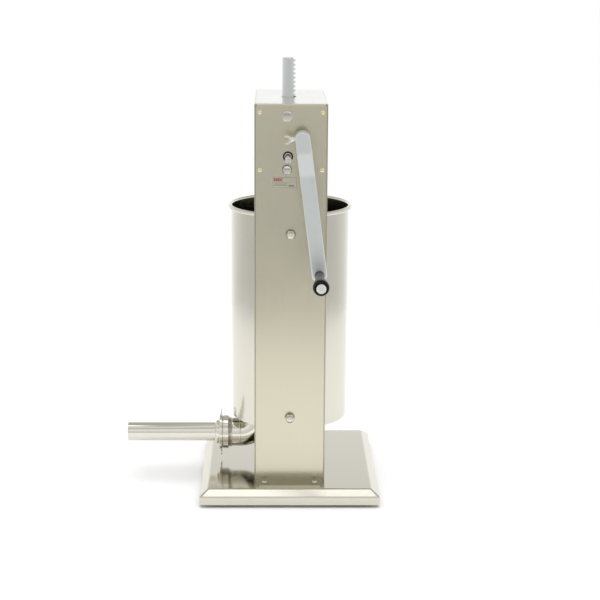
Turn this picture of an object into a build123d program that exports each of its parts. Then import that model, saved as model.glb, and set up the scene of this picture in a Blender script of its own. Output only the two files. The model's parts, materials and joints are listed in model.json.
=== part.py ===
from build123d import *
from math import acos, atan2, cos, degrees, pi, radians, sin, sqrt, tan
import os

# Vertical two-speed sausage stuffer, millimetres.
# +Z is up, the crank turns on the -Y side, the nozzle points to -X.
# The origin is on the bench, under the centre of the base and of the cylinder.

# ---------------------------------------------------------------- base
BASE_W = 300.0
BASE_L = 330.0
BASE_TOP = 29.0
BASE_SKIRT = 4.0
BASE_SHEET = 2.0
BASE_BEVEL = 14.0
BASE_BEVEL_H = 10.0
BASE_CORNER = 4.0
TOP_CORNER = 3.0
BASE_LIP = 34.0
BASE_LIP_CORNER = 2.0
FOOT_X = 127.0
FOOT_Y = 142.0
FOOT_R = 12.0

# ---------------------------------------------------------------- column and head
SHEET = 2.0
COL_HALF = 59.0
FACE_Y = -110.0
COL_DEPTH = 20.0
HEAD_TOP = 664.0
HEAD_BOTTOM = 545.0
HEAD_BACK = 108.0
FLANGE_Y = -141.0
TAB_IN = 36.0
NOTCH = 3.5
WEB_IN = FACE_Y + SHEET
SIDE_IN = COL_HALF - SHEET
FOOT_SCREW_X = 42.0
FOOT_SCREW_Y = -125.0
TAB_SCREW_X = 46.0
TAB_SCREW_Y = -99.0

# ---------------------------------------------------------------- gear frame and bearing plates
FRAME_T = 2.5
FRAME_BOTTOM = 549.0
FRAME_HIGH = 660.0
FRAME_BACK = 25.0
FRAME_LEDGE = 42.0
CORNER_X = 50.0
CORNER_Z = (558.0, 650.5)
PLATE_X = (-30.0, 40.0)
PLATE_Z = (549.0, 659.0)
PLATE_T = 8.0
BOLT_X = -6.5
UPPER_BOLT_Z = 644.7
LOWER_BOLT_Z = 558.6
BRIDGE_Y = (-66.0, -60.0)
PILLARS = ((-26.0, 558.0), (12.0, 558.0), (-26.0, 600.0))
PLATE_BACK = WEB_IN + PLATE_T

# ---------------------------------------------------------------- shafts and gears
SHAFT_R = 6.0
STUB_R = 5.0
STUB_STEP = -112.0
STUB_END = 0.6
RUN = 0.06
FAST_X = 17.5
FAST_Z = 614.0
SLOW_X = -5.0
GEAR_M = 2.0
GEAR_BIG = 29
GEAR_SMALL = 12
PRESSURE = 25.0
GEAR_CENTRES = GEAR_M * (GEAR_BIG + GEAR_SMALL) / 2
SLOW_Z = FAST_Z - sqrt(GEAR_CENTRES**2 - (FAST_X - SLOW_X) ** 2)
MESH_ANGLE = 180 + degrees(atan2(FAST_Z - SLOW_Z, FAST_X - SLOW_X))
GEAR_FRONT = -88.0
GEAR_T = 10.0
SLOW_GEAR_T = 12.0
PINION_M = 2.25
PINION_N = 10
PINION_R = PINION_M * PINION_N / 2
PINION_T = 22.0
PITCH = pi * PINION_M
BACKLASH = 0.24
FAST_ENDS = (-150.0, 34.0)
SLOW_ENDS = (-148.0, -54.0)
BUSH_R = 7.5
BUSH_FLANGE_R = 8.2
BUSH_FLANGE = 1.5
KEY_HALF = 2.0
KEY_DEPTH = 1.5
KEY_OUT = 1.3
RING_R = 9.0
RING_GROOVE_R = 5.2
RING_T = 1.0

# ---------------------------------------------------------------- rack and guides
RACK_R = 11.0
RACK_ADDENDUM = 1.95
RACK_DEDENDUM = 2.9
RACK_X = FAST_X - PINION_R + RACK_ADDENDUM - RACK_R
RACK_BOTTOM = 228.0
RACK_TOP = 728.0
RACK_FIRST_GAP = -52
RACK_LAST_GAP = 17
SPIGOT_R = 6.0
GUIDE_X = (-20.0, 14.0)
GUIDE_FRONT = -16.0
GUIDE_BACK = FRAME_BACK - FRAME_T
GUIDE_LOWER = (549.0, 573.0)
GUIDE_UPPER = (637.0, 660.0)

# ---------------------------------------------------------------- crank and grip
CRANK_R = 216.5
CRANK_TILT = 7.4
HUB_R = 12.2
HUB_BACK = -138.0
ARM_INNER = -160.0
ARM_T = 5.0
ARM_JOG = 12.0
ARM_BEND = (-23.0, -56.0)
AXLE_R = 4.0
GRIP_FRONT = -177.5
GRIP_END = -267.5
GRIP_R = 13.0
GRIP_NECK = 6.6
WING_Y = -144.5

# ---------------------------------------------------------------- cylinder and outlet
CYL_R = 99.0
CYL_WALL = 1.5
CYL_BOTTOM = 116.3
RIM_Z = 481.0
RIM_R = 3.4
FLOOR_T = 2.0
OUTLET_Z = 78.0
ELBOW_X = -46.0
PIPE_R = 25.0
PIPE_WALL = 2.0
SPOUT_R = 26.5
SPOUT_ENDS = (-113.5, -99.0)
NUT_R = 29.3
NUT_FLANGE_R = 30.6
NUT_FLANGE = 5.0
NUT_BORE = 26.9
NUT_ENDS = (-121.0, -105.0)
NUT_LIP = 2.4
NOZZLE_R = 16.5
NOZZLE_TIP = -281.0
COLLAR_R = 20.6
FLANGE_R = 26.0

# ---------------------------------------------------------------- piston
DISC_Z = 200.0
DISC_T = 6.0
DISC_R = 94.0
SEAL_R = 97.4
SEAL_H = 10.0
CLAMP_T = 3.0
BOSS_R = 22.0
VALVE_X = 52.0

# ---------------------------------------------------------------- cylinder supports
SADDLE_Z = (438.0, 468.0)
SADDLE_GAP = 0.4
SADDLE_T = 2.0
SHELF_TOP = CYL_BOTTOM - 0.3
SHELF_HALF = 18.0
SHELF_REACH = 45.0
BRACKET_T = 2.5
BRACKET_Z = (92.0, 166.0)
BRACKET_HALF = 36.0
UPPER_NUT_Z = 452.8
LOWER_NUT_Z = 140.5
M8_R = 4.0

os.makedirs("parts", exist_ok=True)


def write(builder, node):
    """Label a finished piece and write it as one STEP file."""
    builder.part.label = node
    export_step(builder.part, f"parts/{node}.step")


def block(x, y, z, mode=Mode.ADD):
    """A box between pairs of limits, added to the part being built."""
    with Locations(((x[0] + x[1]) / 2, (y[0] + y[1]) / 2, (z[0] + z[1]) / 2)):
        Box(x[1] - x[0], y[1] - y[0], z[1] - z[0], mode=mode)


def round_x(y, z, radius, ends, mode=Mode.ADD):
    """A cylinder along X between two ends."""
    with Locations(Location(((ends[0] + ends[1]) / 2, y, z), (0, 90, 0))):
        Cylinder(radius, ends[1] - ends[0], mode=mode)


def round_y(x, z, radius, ends, mode=Mode.ADD):
    """A cylinder along Y between two ends."""
    with Locations(Location((x, (ends[0] + ends[1]) / 2, z), (90, 0, 0))):
        Cylinder(radius, ends[1] - ends[0], mode=mode)


def round_z(x, y, radius, ends, mode=Mode.ADD):
    """A cylinder along Z between two ends."""
    with Locations((x, y, (ends[0] + ends[1]) / 2)):
        Cylinder(radius, ends[1] - ends[0], mode=mode)


def front_plane(x, y, z):
    """A sketch plane seen from the crank side: x to the right, y up."""
    return Plane(origin=(x, y, z), x_dir=(1, 0, 0), z_dir=(0, -1, 0))


def hexagon_y(x, z, across_flats, ends, mode=Mode.ADD):
    """A hexagonal prism along Y."""
    with BuildSketch(front_plane(x, ends[1], z)) as outline:
        RegularPolygon(across_flats / 2, 6, major_radius=False)
    extrude(outline.sketch, amount=ends[1] - ends[0], mode=mode)


def hexagon_z(x, y, across_flats, ends, mode=Mode.ADD):
    """A hexagonal prism along Z."""
    with BuildSketch(Plane.XY.offset(ends[0])) as outline:
        with Locations((x, y)):
            RegularPolygon(across_flats / 2, 6, major_radius=False)
    extrude(outline.sketch, amount=ends[1] - ends[0], mode=mode)


def involute(angle):
    return tan(angle) - angle


def tooth_face(module, teeth, root, tip):
    """One involute tooth that points along +X, from just inside the root circle."""
    pitch_r = module * teeth / 2
    base_r = pitch_r * cos(radians(PRESSURE))
    start_r = max(base_r, root)
    half_pitch = (pi * module / 2 - BACKLASH) / (2 * pitch_r)
    flank_steps = 4
    upper = []
    for step in range(flank_steps + 1):
        radius = start_r + (tip - start_r) * step / flank_steps
        swing = half_pitch + involute(radians(PRESSURE)) - involute(acos(min(1.0, base_r / radius)))
        upper.append((radius * cos(swing), radius * sin(swing)))
    lower = [(x, -y) for x, y in upper]
    foot = ((root - 0.4) / start_r * upper[0][0], (root - 0.4) / start_r * upper[0][1])
    with BuildSketch() as tooth:
        with BuildLine():
            Spline(*upper)
            Line(upper[-1], lower[-1])
            Spline(*lower)
            Line(lower[0], (foot[0], -foot[1]))
            Line((foot[0], -foot[1]), foot)
            Line(foot, upper[0])
        make_face()
    return tooth.sketch


def gear(x, z, front, width, module, teeth, tooth_angle):
    """A keyed spur gear on a Y axis, with one tooth centred at tooth_angle."""
    pitch_r = module * teeth / 2
    root = pitch_r - 1.25 * module
    tip = pitch_r + 0.98 * module
    tooth = tooth_face(module, teeth, root, tip)
    with BuildPart() as wheel:
        with BuildSketch(front_plane(x, front + width, z)):
            Circle(root)
            with PolarLocations(0, teeth, start_angle=tooth_angle):
                add(tooth)
            Circle(SHAFT_R, mode=Mode.SUBTRACT)
            with Locations((0, SHAFT_R)):
                Rectangle(2 * KEY_HALF, 2 * KEY_OUT, mode=Mode.SUBTRACT)
        extrude(amount=width)
    return wheel


def key_block(x, z, ends, mode=Mode.ADD):
    """A square key on top of a shaft."""
    low = z + SHAFT_R - KEY_DEPTH
    block((x - KEY_HALF, x + KEY_HALF), ends, (low, z + SHAFT_R + KEY_OUT), mode)


def stepped_shaft(x, z, ends):
    """A shaft along Y: a thin stub in front for the crank, a thicker journal behind."""
    round_y(x, z, STUB_R, (ends[0] + STUB_END, STUB_STEP))
    with Locations(Location((x, ends[0] + STUB_END / 2, z), (90, 0, 0))):
        Cone(STUB_R, STUB_R - STUB_END, STUB_END)
    round_y(x, z, SHAFT_R, (STUB_STEP, ends[1]))


def pan_screw_y(x, z, head_y, shank_r, shank_length, head_r, head_t):
    """A pan-head screw whose head stands on a face at head_y, towards -Y."""
    round_y(x, z, head_r, (head_y - head_t, head_y))
    round_y(x, z, shank_r, (head_y, head_y + shank_length))


# ================================================================ base pan
TOP_W = BASE_W - 2 * BASE_BEVEL
TOP_L = BASE_L - 2 * BASE_BEVEL
BEVEL_Z = BASE_TOP - BASE_BEVEL_H


def base_solid(inset, low, top, mode):
    """The bevelled block of the base, moved inwards by inset."""
    with BuildSketch(Plane.XY.offset(low)) as skirt:
        RectangleRounded(BASE_W - 2 * inset, BASE_L - 2 * inset, BASE_CORNER - inset)
    extrude(skirt.sketch, amount=BEVEL_Z - low, mode=mode)
    with BuildSketch(Plane.XY.offset(BEVEL_Z)) as wide:
        RectangleRounded(BASE_W - 2 * inset, BASE_L - 2 * inset, BASE_CORNER - inset)
    with BuildSketch(Plane.XY.offset(top)) as narrow:
        RectangleRounded(TOP_W - 2 * inset, TOP_L - 2 * inset, TOP_CORNER - inset)
    loft([wide.sketch.face(), narrow.sketch.face()], mode=mode)


with BuildPart() as base_pan:
    base_solid(0, BASE_SKIRT, BASE_TOP, Mode.ADD)
    base_solid(BASE_SHEET, BASE_SKIRT, BASE_TOP - BASE_SHEET, Mode.SUBTRACT)
    with BuildSketch(Plane.XY.offset(BASE_SKIRT)):
        RectangleRounded(BASE_W - 2, BASE_L - 2, BASE_CORNER - 1)
        RectangleRounded(BASE_W - 2 * BASE_LIP, BASE_L - 2 * BASE_LIP, BASE_LIP_CORNER, mode=Mode.SUBTRACT)
    extrude(amount=BASE_SHEET)
    with GridLocations(2 * FOOT_X, 2 * FOOT_Y, 2, 2):
        Cylinder(2.5, 20, mode=Mode.SUBTRACT)
    for side in (-1, 1):
        round_z(side * FOOT_SCREW_X, FOOT_SCREW_Y, 2.5, (20, 40), Mode.SUBTRACT)
        round_z(side * TAB_SCREW_X, TAB_SCREW_Y, 2.5, (20, 40), Mode.SUBTRACT)
write(base_pan, "base_pan")

# rubber feet, each with a recess for its screw head
with BuildPart() as rubber_feet:
    with BuildSketch(Plane.XY):
        with GridLocations(2 * FOOT_X, 2 * FOOT_Y, 2, 2):
            Circle(FOOT_R)
    extrude(amount=BASE_SKIRT)
    chamfer(rubber_feet.edges().group_by(Axis.Z)[0], 1.2)
    with BuildSketch(Plane.XY):
        with GridLocations(2 * FOOT_X, 2 * FOOT_Y, 2, 2):
            Circle(5.5)
    extrude(amount=2.6, mode=Mode.SUBTRACT)
    with BuildSketch(Plane.XY):
        with GridLocations(2 * FOOT_X, 2 * FOOT_Y, 2, 2):
            Circle(2.5)
    extrude(amount=BASE_SKIRT, mode=Mode.SUBTRACT)
write(rubber_feet, "rubber_feet")

FEET = [(i * FOOT_X, j * FOOT_Y) for i in (-1, 1) for j in (-1, 1)]
with BuildPart() as feet_screws:
    for x, y in FEET:
        round_z(x, y, 4.8, (0.6, 2.6))
        round_z(x, y, 2.5, (2.6, 12.0))
write(feet_screws, "feet_screws")

COLUMN_SCREWS = [(i * FOOT_SCREW_X, FOOT_SCREW_Y) for i in (-1, 1)]
COLUMN_SCREWS += [(i * TAB_SCREW_X, TAB_SCREW_Y) for i in (-1, 1)]
NUT_H = 4.0
with BuildPart() as base_nuts:
    for x, y in FEET:
        hexagon_z(x, y, 8.0, (BASE_SKIRT + BASE_SHEET, BASE_SKIRT + BASE_SHEET + NUT_H))
        round_z(x, y, 2.5, (BASE_SKIRT + BASE_SHEET, BASE_SKIRT + BASE_SHEET + NUT_H), Mode.SUBTRACT)
    for x, y in COLUMN_SCREWS:
        hexagon_z(x, y, 8.0, (BASE_TOP - BASE_SHEET - NUT_H, BASE_TOP - BASE_SHEET))
        round_z(x, y, 2.5, (BASE_TOP - BASE_SHEET - NUT_H, BASE_TOP - BASE_SHEET), Mode.SUBTRACT)
write(base_nuts, "base_nuts")

with BuildPart() as column_foot_screws:
    for x, y in COLUMN_SCREWS:
        round_z(x, y, 4.6, (BASE_TOP + SHEET, BASE_TOP + SHEET + 2.8))
        round_z(x, y, 2.5, (BASE_TOP - BASE_SHEET - NUT_H - 2, BASE_TOP + SHEET))
    fillet(column_foot_screws.edges().group_by(Axis.Z)[-1], 1.2)
    for x, y in COLUMN_SCREWS:
        hexagon_z(x, y, 3.0, (BASE_TOP + SHEET + 1.2, BASE_TOP + SHEET + 2.8), Mode.SUBTRACT)
write(column_foot_screws, "column_foot_screws")

# ================================================================ column: one folded sheet
INNER_CORNER = 16.0
with BuildPart() as column:
    with BuildSketch(Plane.YZ.offset(-COL_HALF)):
        with BuildLine():
            Polyline(
                (FACE_Y, BASE_TOP),
                (FACE_Y + COL_DEPTH, BASE_TOP),
                (FACE_Y + COL_DEPTH, HEAD_BOTTOM - INNER_CORNER),
            )
            JernArc((FACE_Y + COL_DEPTH, HEAD_BOTTOM - INNER_CORNER), (0, 1), INNER_CORNER, -90)
            Polyline(
                (FACE_Y + COL_DEPTH + INNER_CORNER, HEAD_BOTTOM),
                (HEAD_BACK, HEAD_BOTTOM),
                (HEAD_BACK, HEAD_TOP),
                (FACE_Y, HEAD_TOP),
                (FACE_Y, BASE_TOP),
            )
        make_face()
    extrude(amount=2 * COL_HALF)
    front_corners = column.edges().filter_by(Axis.Z).filter_by_position(Axis.Y, FACE_Y - 0.1, FACE_Y + 0.1)
    fillet(front_corners, 2.4)
    top_fold = column.edges().filter_by(Axis.X).filter_by_position(Axis.Z, HEAD_TOP - 0.1, HEAD_TOP + 0.1)
    fillet(top_fold.sort_by(Axis.Y)[0], 2.4)
    block((-SIDE_IN, SIDE_IN), (WEB_IN, HEAD_BACK + 10), (0, HEAD_TOP - SHEET), Mode.SUBTRACT)
    for side in (-1, 1):
        with Locations((side * COL_HALF, FACE_Y, HEAD_TOP)):
            Box(2 * NOTCH, 2 * NOTCH, 2 * NOTCH, mode=Mode.SUBTRACT)
    # front foot flange and the two tabs turned in under the cylinder
    with BuildSketch(Plane.XY.offset(BASE_TOP)):
        with BuildLine():
            Polyline(
                (-COL_HALF + 1, WEB_IN),
                (-COL_HALF + 1, FLANGE_Y + 7),
                (-COL_HALF + 8, FLANGE_Y),
                (COL_HALF - 8, FLANGE_Y),
                (COL_HALF - 1, FLANGE_Y + 7),
                (COL_HALF - 1, WEB_IN),
                (-COL_HALF + 1, WEB_IN),
            )
        make_face()
    extrude(amount=SHEET)
    block((-SIDE_IN, -TAB_IN), (WEB_IN, FACE_Y + COL_DEPTH), (BASE_TOP, BASE_TOP + SHEET))
    block((TAB_IN, SIDE_IN), (WEB_IN, FACE_Y + COL_DEPTH), (BASE_TOP, BASE_TOP + SHEET))
    for x, y in COLUMN_SCREWS:
        round_z(x, y, 2.5, (BASE_TOP, BASE_TOP + SHEET), Mode.SUBTRACT)
    web = (FACE_Y - 1, WEB_IN + 1)
    for x in (-CORNER_X, CORNER_X):
        for z in CORNER_Z:
            round_y(x, z, 2.0, web, Mode.SUBTRACT)
    round_y(BOLT_X, UPPER_BOLT_Z, 5.0, web, Mode.SUBTRACT)
    round_y(BOLT_X, LOWER_BOLT_Z, 4.0, web, Mode.SUBTRACT)
    round_y(FAST_X, FAST_Z, BUSH_R, web, Mode.SUBTRACT)
    round_y(SLOW_X, SLOW_Z, BUSH_R, web, Mode.SUBTRACT)
    round_y(0, UPPER_NUT_Z, M8_R, web, Mode.SUBTRACT)
    round_y(0, LOWER_NUT_Z, M8_R, web, Mode.SUBTRACT)
    round_z(RACK_X, 0, RACK_R + 1.5, (HEAD_TOP - 5, HEAD_TOP + 1), Mode.SUBTRACT)
    COVER_SCREWS = [(45.0, 553.0), (85.0, 553.0), (102.0, 580.0), (102.0, 635.0)]
    for y, z in COVER_SCREWS:
        round_x(y, z, 2.0, (-COL_HALF - 1, COL_HALF + 1), Mode.SUBTRACT)
write(column, "column")

# ================================================================ head floor and rear cover
FLOOR_FLANGE = (30.0, 96.0)
with BuildPart() as head_floor:
    block((-SIDE_IN, SIDE_IN), (WEB_IN, HEAD_BACK - 2), (HEAD_BOTTOM, HEAD_BOTTOM + SHEET))
    block((-SIDE_IN, -SIDE_IN + SHEET), FLOOR_FLANGE, (HEAD_BOTTOM, HEAD_BOTTOM + 15))
    block((SIDE_IN - SHEET, SIDE_IN), FLOOR_FLANGE, (HEAD_BOTTOM, HEAD_BOTTOM + 15))
    round_z(RACK_X, 0, RACK_R + 2, (HEAD_BOTTOM - 1, HEAD_BOTTOM + 5), Mode.SUBTRACT)
    for y, z in COVER_SCREWS[:2]:
        round_x(y, z, 2.0, (-COL_HALF, COL_HALF), Mode.SUBTRACT)
write(head_floor, "head_floor")

COVER_FLANGE = (96.0, HEAD_BACK)
with BuildPart() as rear_cover:
    block((-COL_HALF, COL_HALF), (HEAD_BACK, HEAD_BACK + SHEET), (HEAD_BOTTOM, HEAD_TOP))
    fillet(rear_cover.edges().filter_by(Axis.Y), 2.5)
    block((-SIDE_IN, -SIDE_IN + SHEET), COVER_FLANGE, (HEAD_BOTTOM + 17, HEAD_TOP - 6))
    block((SIDE_IN - SHEET, SIDE_IN), COVER_FLANGE, (HEAD_BOTTOM + 17, HEAD_TOP - 6))
    for y, z in COVER_SCREWS[2:]:
        round_x(y, z, 2.0, (-COL_HALF, COL_HALF), Mode.SUBTRACT)
write(rear_cover, "rear_cover")

with BuildPart() as cover_screws:
    for side in (-1, 1):
        for y, z in COVER_SCREWS:
            head = sorted((side * COL_HALF, side * (COL_HALF + 2.4)))
            shank = sorted((side * COL_HALF, side * (SIDE_IN - SHEET - 3)))
            round_x(y, z, 4.0, head)
            round_x(y, z, 2.0, shank)
write(cover_screws, "cover_screws")

# ================================================================ gear frame and bearing plates
with BuildPart() as gear_frame:
    with BuildSketch(Plane.XY.offset(FRAME_BOTTOM)):
        with BuildLine():
            Polyline(
                (-FRAME_LEDGE, WEB_IN),
                (-SIDE_IN, WEB_IN),
                (-SIDE_IN, FRAME_BACK),
                (SIDE_IN, FRAME_BACK),
                (SIDE_IN, WEB_IN),
                (FRAME_LEDGE, WEB_IN),
                (FRAME_LEDGE, WEB_IN + FRAME_T),
                (SIDE_IN - FRAME_T, WEB_IN + FRAME_T),
                (SIDE_IN - FRAME_T, FRAME_BACK - FRAME_T),
                (-SIDE_IN + FRAME_T, FRAME_BACK - FRAME_T),
                (-SIDE_IN + FRAME_T, WEB_IN + FRAME_T),
                (-FRAME_LEDGE, WEB_IN + FRAME_T),
                (-FRAME_LEDGE, WEB_IN),
            )
        make_face()
    extrude(amount=FRAME_HIGH - FRAME_BOTTOM)
    GUIDE_SCREWS = [(x, (low + high) / 2) for low, high in (GUIDE_LOWER, GUIDE_UPPER) for x in (-14.5, 8.5)]
    for x, z in GUIDE_SCREWS:
        round_y(x, z, 2.5, (FRAME_BACK - 10, FRAME_BACK + 1), Mode.SUBTRACT)
    round_y(FAST_X, FAST_Z, BUSH_R, (FRAME_BACK - 10, FRAME_BACK + 1), Mode.SUBTRACT)
    for x in (-CORNER_X, CORNER_X):
        for z in CORNER_Z:
            round_y(x, z, 2.0, (WEB_IN - 1, WEB_IN + 5), Mode.SUBTRACT)
write(gear_frame, "gear_frame")

with BuildPart() as gear_frame_screws:
    for x in (-CORNER_X, CORNER_X):
        for z in CORNER_Z:
            pan_screw_y(x, z, FACE_Y, 2.0, 11.0, 3.7, 2.4)
    fillet(gear_frame_screws.edges().group_by(Axis.Y)[0], 1.0)
write(gear_frame_screws, "gear_frame_screws")

with BuildPart() as gear_frame_nuts:
    for x in (-CORNER_X, CORNER_X):
        for z in CORNER_Z:
            hexagon_y(x, z, 7.0, (WEB_IN + FRAME_T, WEB_IN + FRAME_T + NUT_H))
            round_y(x, z, 2.0, (WEB_IN + FRAME_T, WEB_IN + FRAME_T + NUT_H), Mode.SUBTRACT)
write(gear_frame_nuts, "gear_frame_nuts")

with BuildPart() as front_bearing_plate:
    block(PLATE_X, (WEB_IN, PLATE_BACK), PLATE_Z)
    fillet(front_bearing_plate.edges().filter_by(Axis.Y), 5)
    through = (WEB_IN - 1, PLATE_BACK + 1)
    round_y(BOLT_X, UPPER_BOLT_Z, 5.0, through, Mode.SUBTRACT)
    round_y(BOLT_X, LOWER_BOLT_Z, 4.0, through, Mode.SUBTRACT)
    round_y(FAST_X, FAST_Z, BUSH_R, through, Mode.SUBTRACT)
    round_y(SLOW_X, SLOW_Z, BUSH_R, through, Mode.SUBTRACT)
    for x, z in PILLARS:
        round_y(x, z, 3.0, (PLATE_BACK - 5, PLATE_BACK + 1), Mode.SUBTRACT)
write(front_bearing_plate, "front_bearing_plate")

with BuildPart() as upper_plate_bolt:
    hexagon_y(BOLT_X, UPPER_BOLT_Z, 16.0, (FACE_Y - 6.4, FACE_Y))
    chamfer(upper_plate_bolt.edges().group_by(Axis.Y)[0], 0.8)
    round_y(BOLT_X, UPPER_BOLT_Z, 5.0, (FACE_Y, PLATE_BACK))
write(upper_plate_bolt, "upper_plate_bolt")

WASHER_T = 1.6
with BuildPart() as lower_plate_bolt:
    hexagon_y(BOLT_X, LOWER_BOLT_Z, 13.0, (FACE_Y - WASHER_T - 5.3, FACE_Y - WASHER_T))
    chamfer(lower_plate_bolt.edges().group_by(Axis.Y)[0], 0.7)
    round_y(BOLT_X, LOWER_BOLT_Z, 4.0, (FACE_Y - WASHER_T, PLATE_BACK))
write(lower_plate_bolt, "lower_plate_bolt")

with BuildPart() as lower_plate_washer:
    round_y(BOLT_X, LOWER_BOLT_Z, 8.2, (FACE_Y - WASHER_T, FACE_Y))
    round_y(BOLT_X, LOWER_BOLT_Z, 4.0, (FACE_Y - WASHER_T, FACE_Y), Mode.SUBTRACT)
write(lower_plate_washer, "lower_plate_washer")

with BuildPart() as bridge_plate:
    block((-34.0, 20.0), BRIDGE_Y, (550.0, 607.0))
    fillet(bridge_plate.edges().filter_by(Axis.Y), 6)
    bridge_hole = (BRIDGE_Y[0] - 1, BRIDGE_Y[1] + 1)
    round_y(SLOW_X, SLOW_Z, BUSH_R, bridge_hole, Mode.SUBTRACT)
    for x, z in PILLARS:
        round_y(x, z, 2.5, bridge_hole, Mode.SUBTRACT)
write(bridge_plate, "bridge_plate")

with BuildPart() as bridge_pillars:
    for x, z in PILLARS:
        round_y(x, z, 5.0, (PLATE_BACK, BRIDGE_Y[0]))
        round_y(x, z, 3.0, (PLATE_BACK - 5, PLATE_BACK))
        round_y(x, z, 2.5, (BRIDGE_Y[0] - 12, BRIDGE_Y[0]), Mode.SUBTRACT)
write(bridge_pillars, "bridge_pillars")

with BuildPart() as bridge_screws:
    for x, z in PILLARS:
        round_y(x, z, 4.5, (BRIDGE_Y[1], BRIDGE_Y[1] + 3))
        round_y(x, z, 2.5, (BRIDGE_Y[0] - 12, BRIDGE_Y[1]))
write(bridge_screws, "bridge_screws")

# ================================================================ bushes and rack guides
with BuildPart() as front_bushes:
    for x, z in ((FAST_X, FAST_Z), (SLOW_X, SLOW_Z)):
        round_y(x, z, BUSH_FLANGE_R, (FACE_Y - BUSH_FLANGE, FACE_Y))
        round_y(x, z, BUSH_R, (FACE_Y, PLATE_BACK + 2))
        round_y(x, z, SHAFT_R + RUN, (FACE_Y - 3, PLATE_BACK + 3), Mode.SUBTRACT)
write(front_bushes, "front_bushes")

GUIDE_FACE = FRAME_BACK - FRAME_T
with BuildPart() as rear_bushes:
    for x, z, wall in ((FAST_X, FAST_Z, GUIDE_FACE), (SLOW_X, SLOW_Z, BRIDGE_Y[0])):
        round_y(x, z, BUSH_FLANGE_R, (wall - BUSH_FLANGE, wall))
        round_y(x, z, BUSH_R, (wall, wall + 8))
        round_y(x, z, SHAFT_R + RUN, (wall - 3, wall + 10), Mode.SUBTRACT)
write(rear_bushes, "rear_bushes")

for node, limits in (("lower_rack_guide", GUIDE_LOWER), ("upper_rack_guide", GUIDE_UPPER)):
    with BuildPart() as rack_guide:
        block(GUIDE_X, (GUIDE_FRONT, GUIDE_FACE), limits)
        fillet(rack_guide.edges().filter_by(Axis.Z), 3)
        round_z(RACK_X, 0, RACK_R + 0.08, (limits[0] - 1, limits[1] + 1), Mode.SUBTRACT)
        for x, z in GUIDE_SCREWS:
            if limits[0] < z < limits[1]:
                round_y(x, z, 2.5, (GUIDE_FACE - 8, GUIDE_FACE + 1), Mode.SUBTRACT)
    write(rack_guide, node)

with BuildPart() as rack_guide_screws:
    for x, z in GUIDE_SCREWS:
        round_y(x, z, 4.5, (FRAME_BACK, FRAME_BACK + 3))
        round_y(x, z, 2.5, (GUIDE_FACE - 8, FRAME_BACK))
write(rack_guide_screws, "rack_guide_screws")

# ================================================================ fast shaft, pinion, main gear
MAIN_GEAR_ENDS = (GEAR_FRONT, GEAR_FRONT + GEAR_T)
PINION_ENDS = (-PINION_T / 2, PINION_T / 2)
FRONT_RING = PLATE_BACK + 2.3
with BuildPart() as fast_shaft:
    stepped_shaft(FAST_X, FAST_Z, FAST_ENDS)
    key_block(FAST_X, FAST_Z, MAIN_GEAR_ENDS, Mode.SUBTRACT)
    key_block(FAST_X, FAST_Z, PINION_ENDS, Mode.SUBTRACT)
    for ring_y in (FRONT_RING, GUIDE_FACE + 8.3):
        with Locations(Location((FAST_X, ring_y + RING_T / 2, FAST_Z), (90, 0, 0))):
            Cylinder(SHAFT_R + 1, RING_T, mode=Mode.SUBTRACT)
            Cylinder(RING_GROOVE_R, RING_T)
write(fast_shaft, "fast_shaft")

main_gear = gear(FAST_X, FAST_Z, GEAR_FRONT, GEAR_T, GEAR_M, GEAR_BIG, MESH_ANGLE)
with BuildPart() as main_gear_lightened:
    add(main_gear.part)
    with BuildSketch(front_plane(FAST_X, MAIN_GEAR_ENDS[1], FAST_Z)):
        with PolarLocations(17.5, 6, start_angle=30):
            Circle(5.0)
    extrude(amount=GEAR_T, mode=Mode.SUBTRACT)
write(main_gear_lightened, "main_gear")

pinion_tooth = tooth_face(PINION_M, PINION_N, PINION_R - 2.4, PINION_R + 2.1)
with BuildPart() as pinion:
    with BuildSketch(front_plane(FAST_X, PINION_ENDS[1], FAST_Z)):
        Circle(PINION_R - 2.4)
        with PolarLocations(0, PINION_N, start_angle=180):
            add(pinion_tooth)
        Circle(SHAFT_R, mode=Mode.SUBTRACT)
        with Locations((0, SHAFT_R)):
            Rectangle(2 * KEY_HALF, 2 * KEY_OUT, mode=Mode.SUBTRACT)
    extrude(amount=PINION_T)
write(pinion, "pinion")

with BuildPart() as fast_shaft_keys:
    key_block(FAST_X, FAST_Z, MAIN_GEAR_ENDS)
    key_block(FAST_X, FAST_Z, PINION_ENDS)
write(fast_shaft_keys, "fast_shaft_keys")

with BuildPart() as fast_shaft_rings:
    for ring_y in (FRONT_RING, GUIDE_FACE + 8.3):
        round_y(FAST_X, FAST_Z, RING_R, (ring_y, ring_y + RING_T))
        round_y(FAST_X, FAST_Z, RING_GROOVE_R, (ring_y, ring_y + RING_T), Mode.SUBTRACT)
write(fast_shaft_rings, "fast_shaft_rings")

# ================================================================ slow shaft and its gear
SLOW_GEAR_ENDS = (GEAR_FRONT - 1, GEAR_FRONT - 1 + SLOW_GEAR_T)
SLOW_RINGS = (FRONT_RING, BRIDGE_Y[0] + 8.3)
with BuildPart() as slow_shaft:
    stepped_shaft(SLOW_X, SLOW_Z, SLOW_ENDS)
    key_block(SLOW_X, SLOW_Z, SLOW_GEAR_ENDS, Mode.SUBTRACT)
    for ring_y in SLOW_RINGS:
        with Locations(Location((SLOW_X, ring_y + RING_T / 2, SLOW_Z), (90, 0, 0))):
            Cylinder(SHAFT_R + 1, RING_T, mode=Mode.SUBTRACT)
            Cylinder(RING_GROOVE_R, RING_T)
write(slow_shaft, "slow_shaft")

slow_tooth = MESH_ANGLE - 180 + 180 / GEAR_SMALL
slow_gear = gear(SLOW_X, SLOW_Z, SLOW_GEAR_ENDS[0], SLOW_GEAR_T, GEAR_M, GEAR_SMALL, slow_tooth)
write(slow_gear, "slow_gear")

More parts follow.
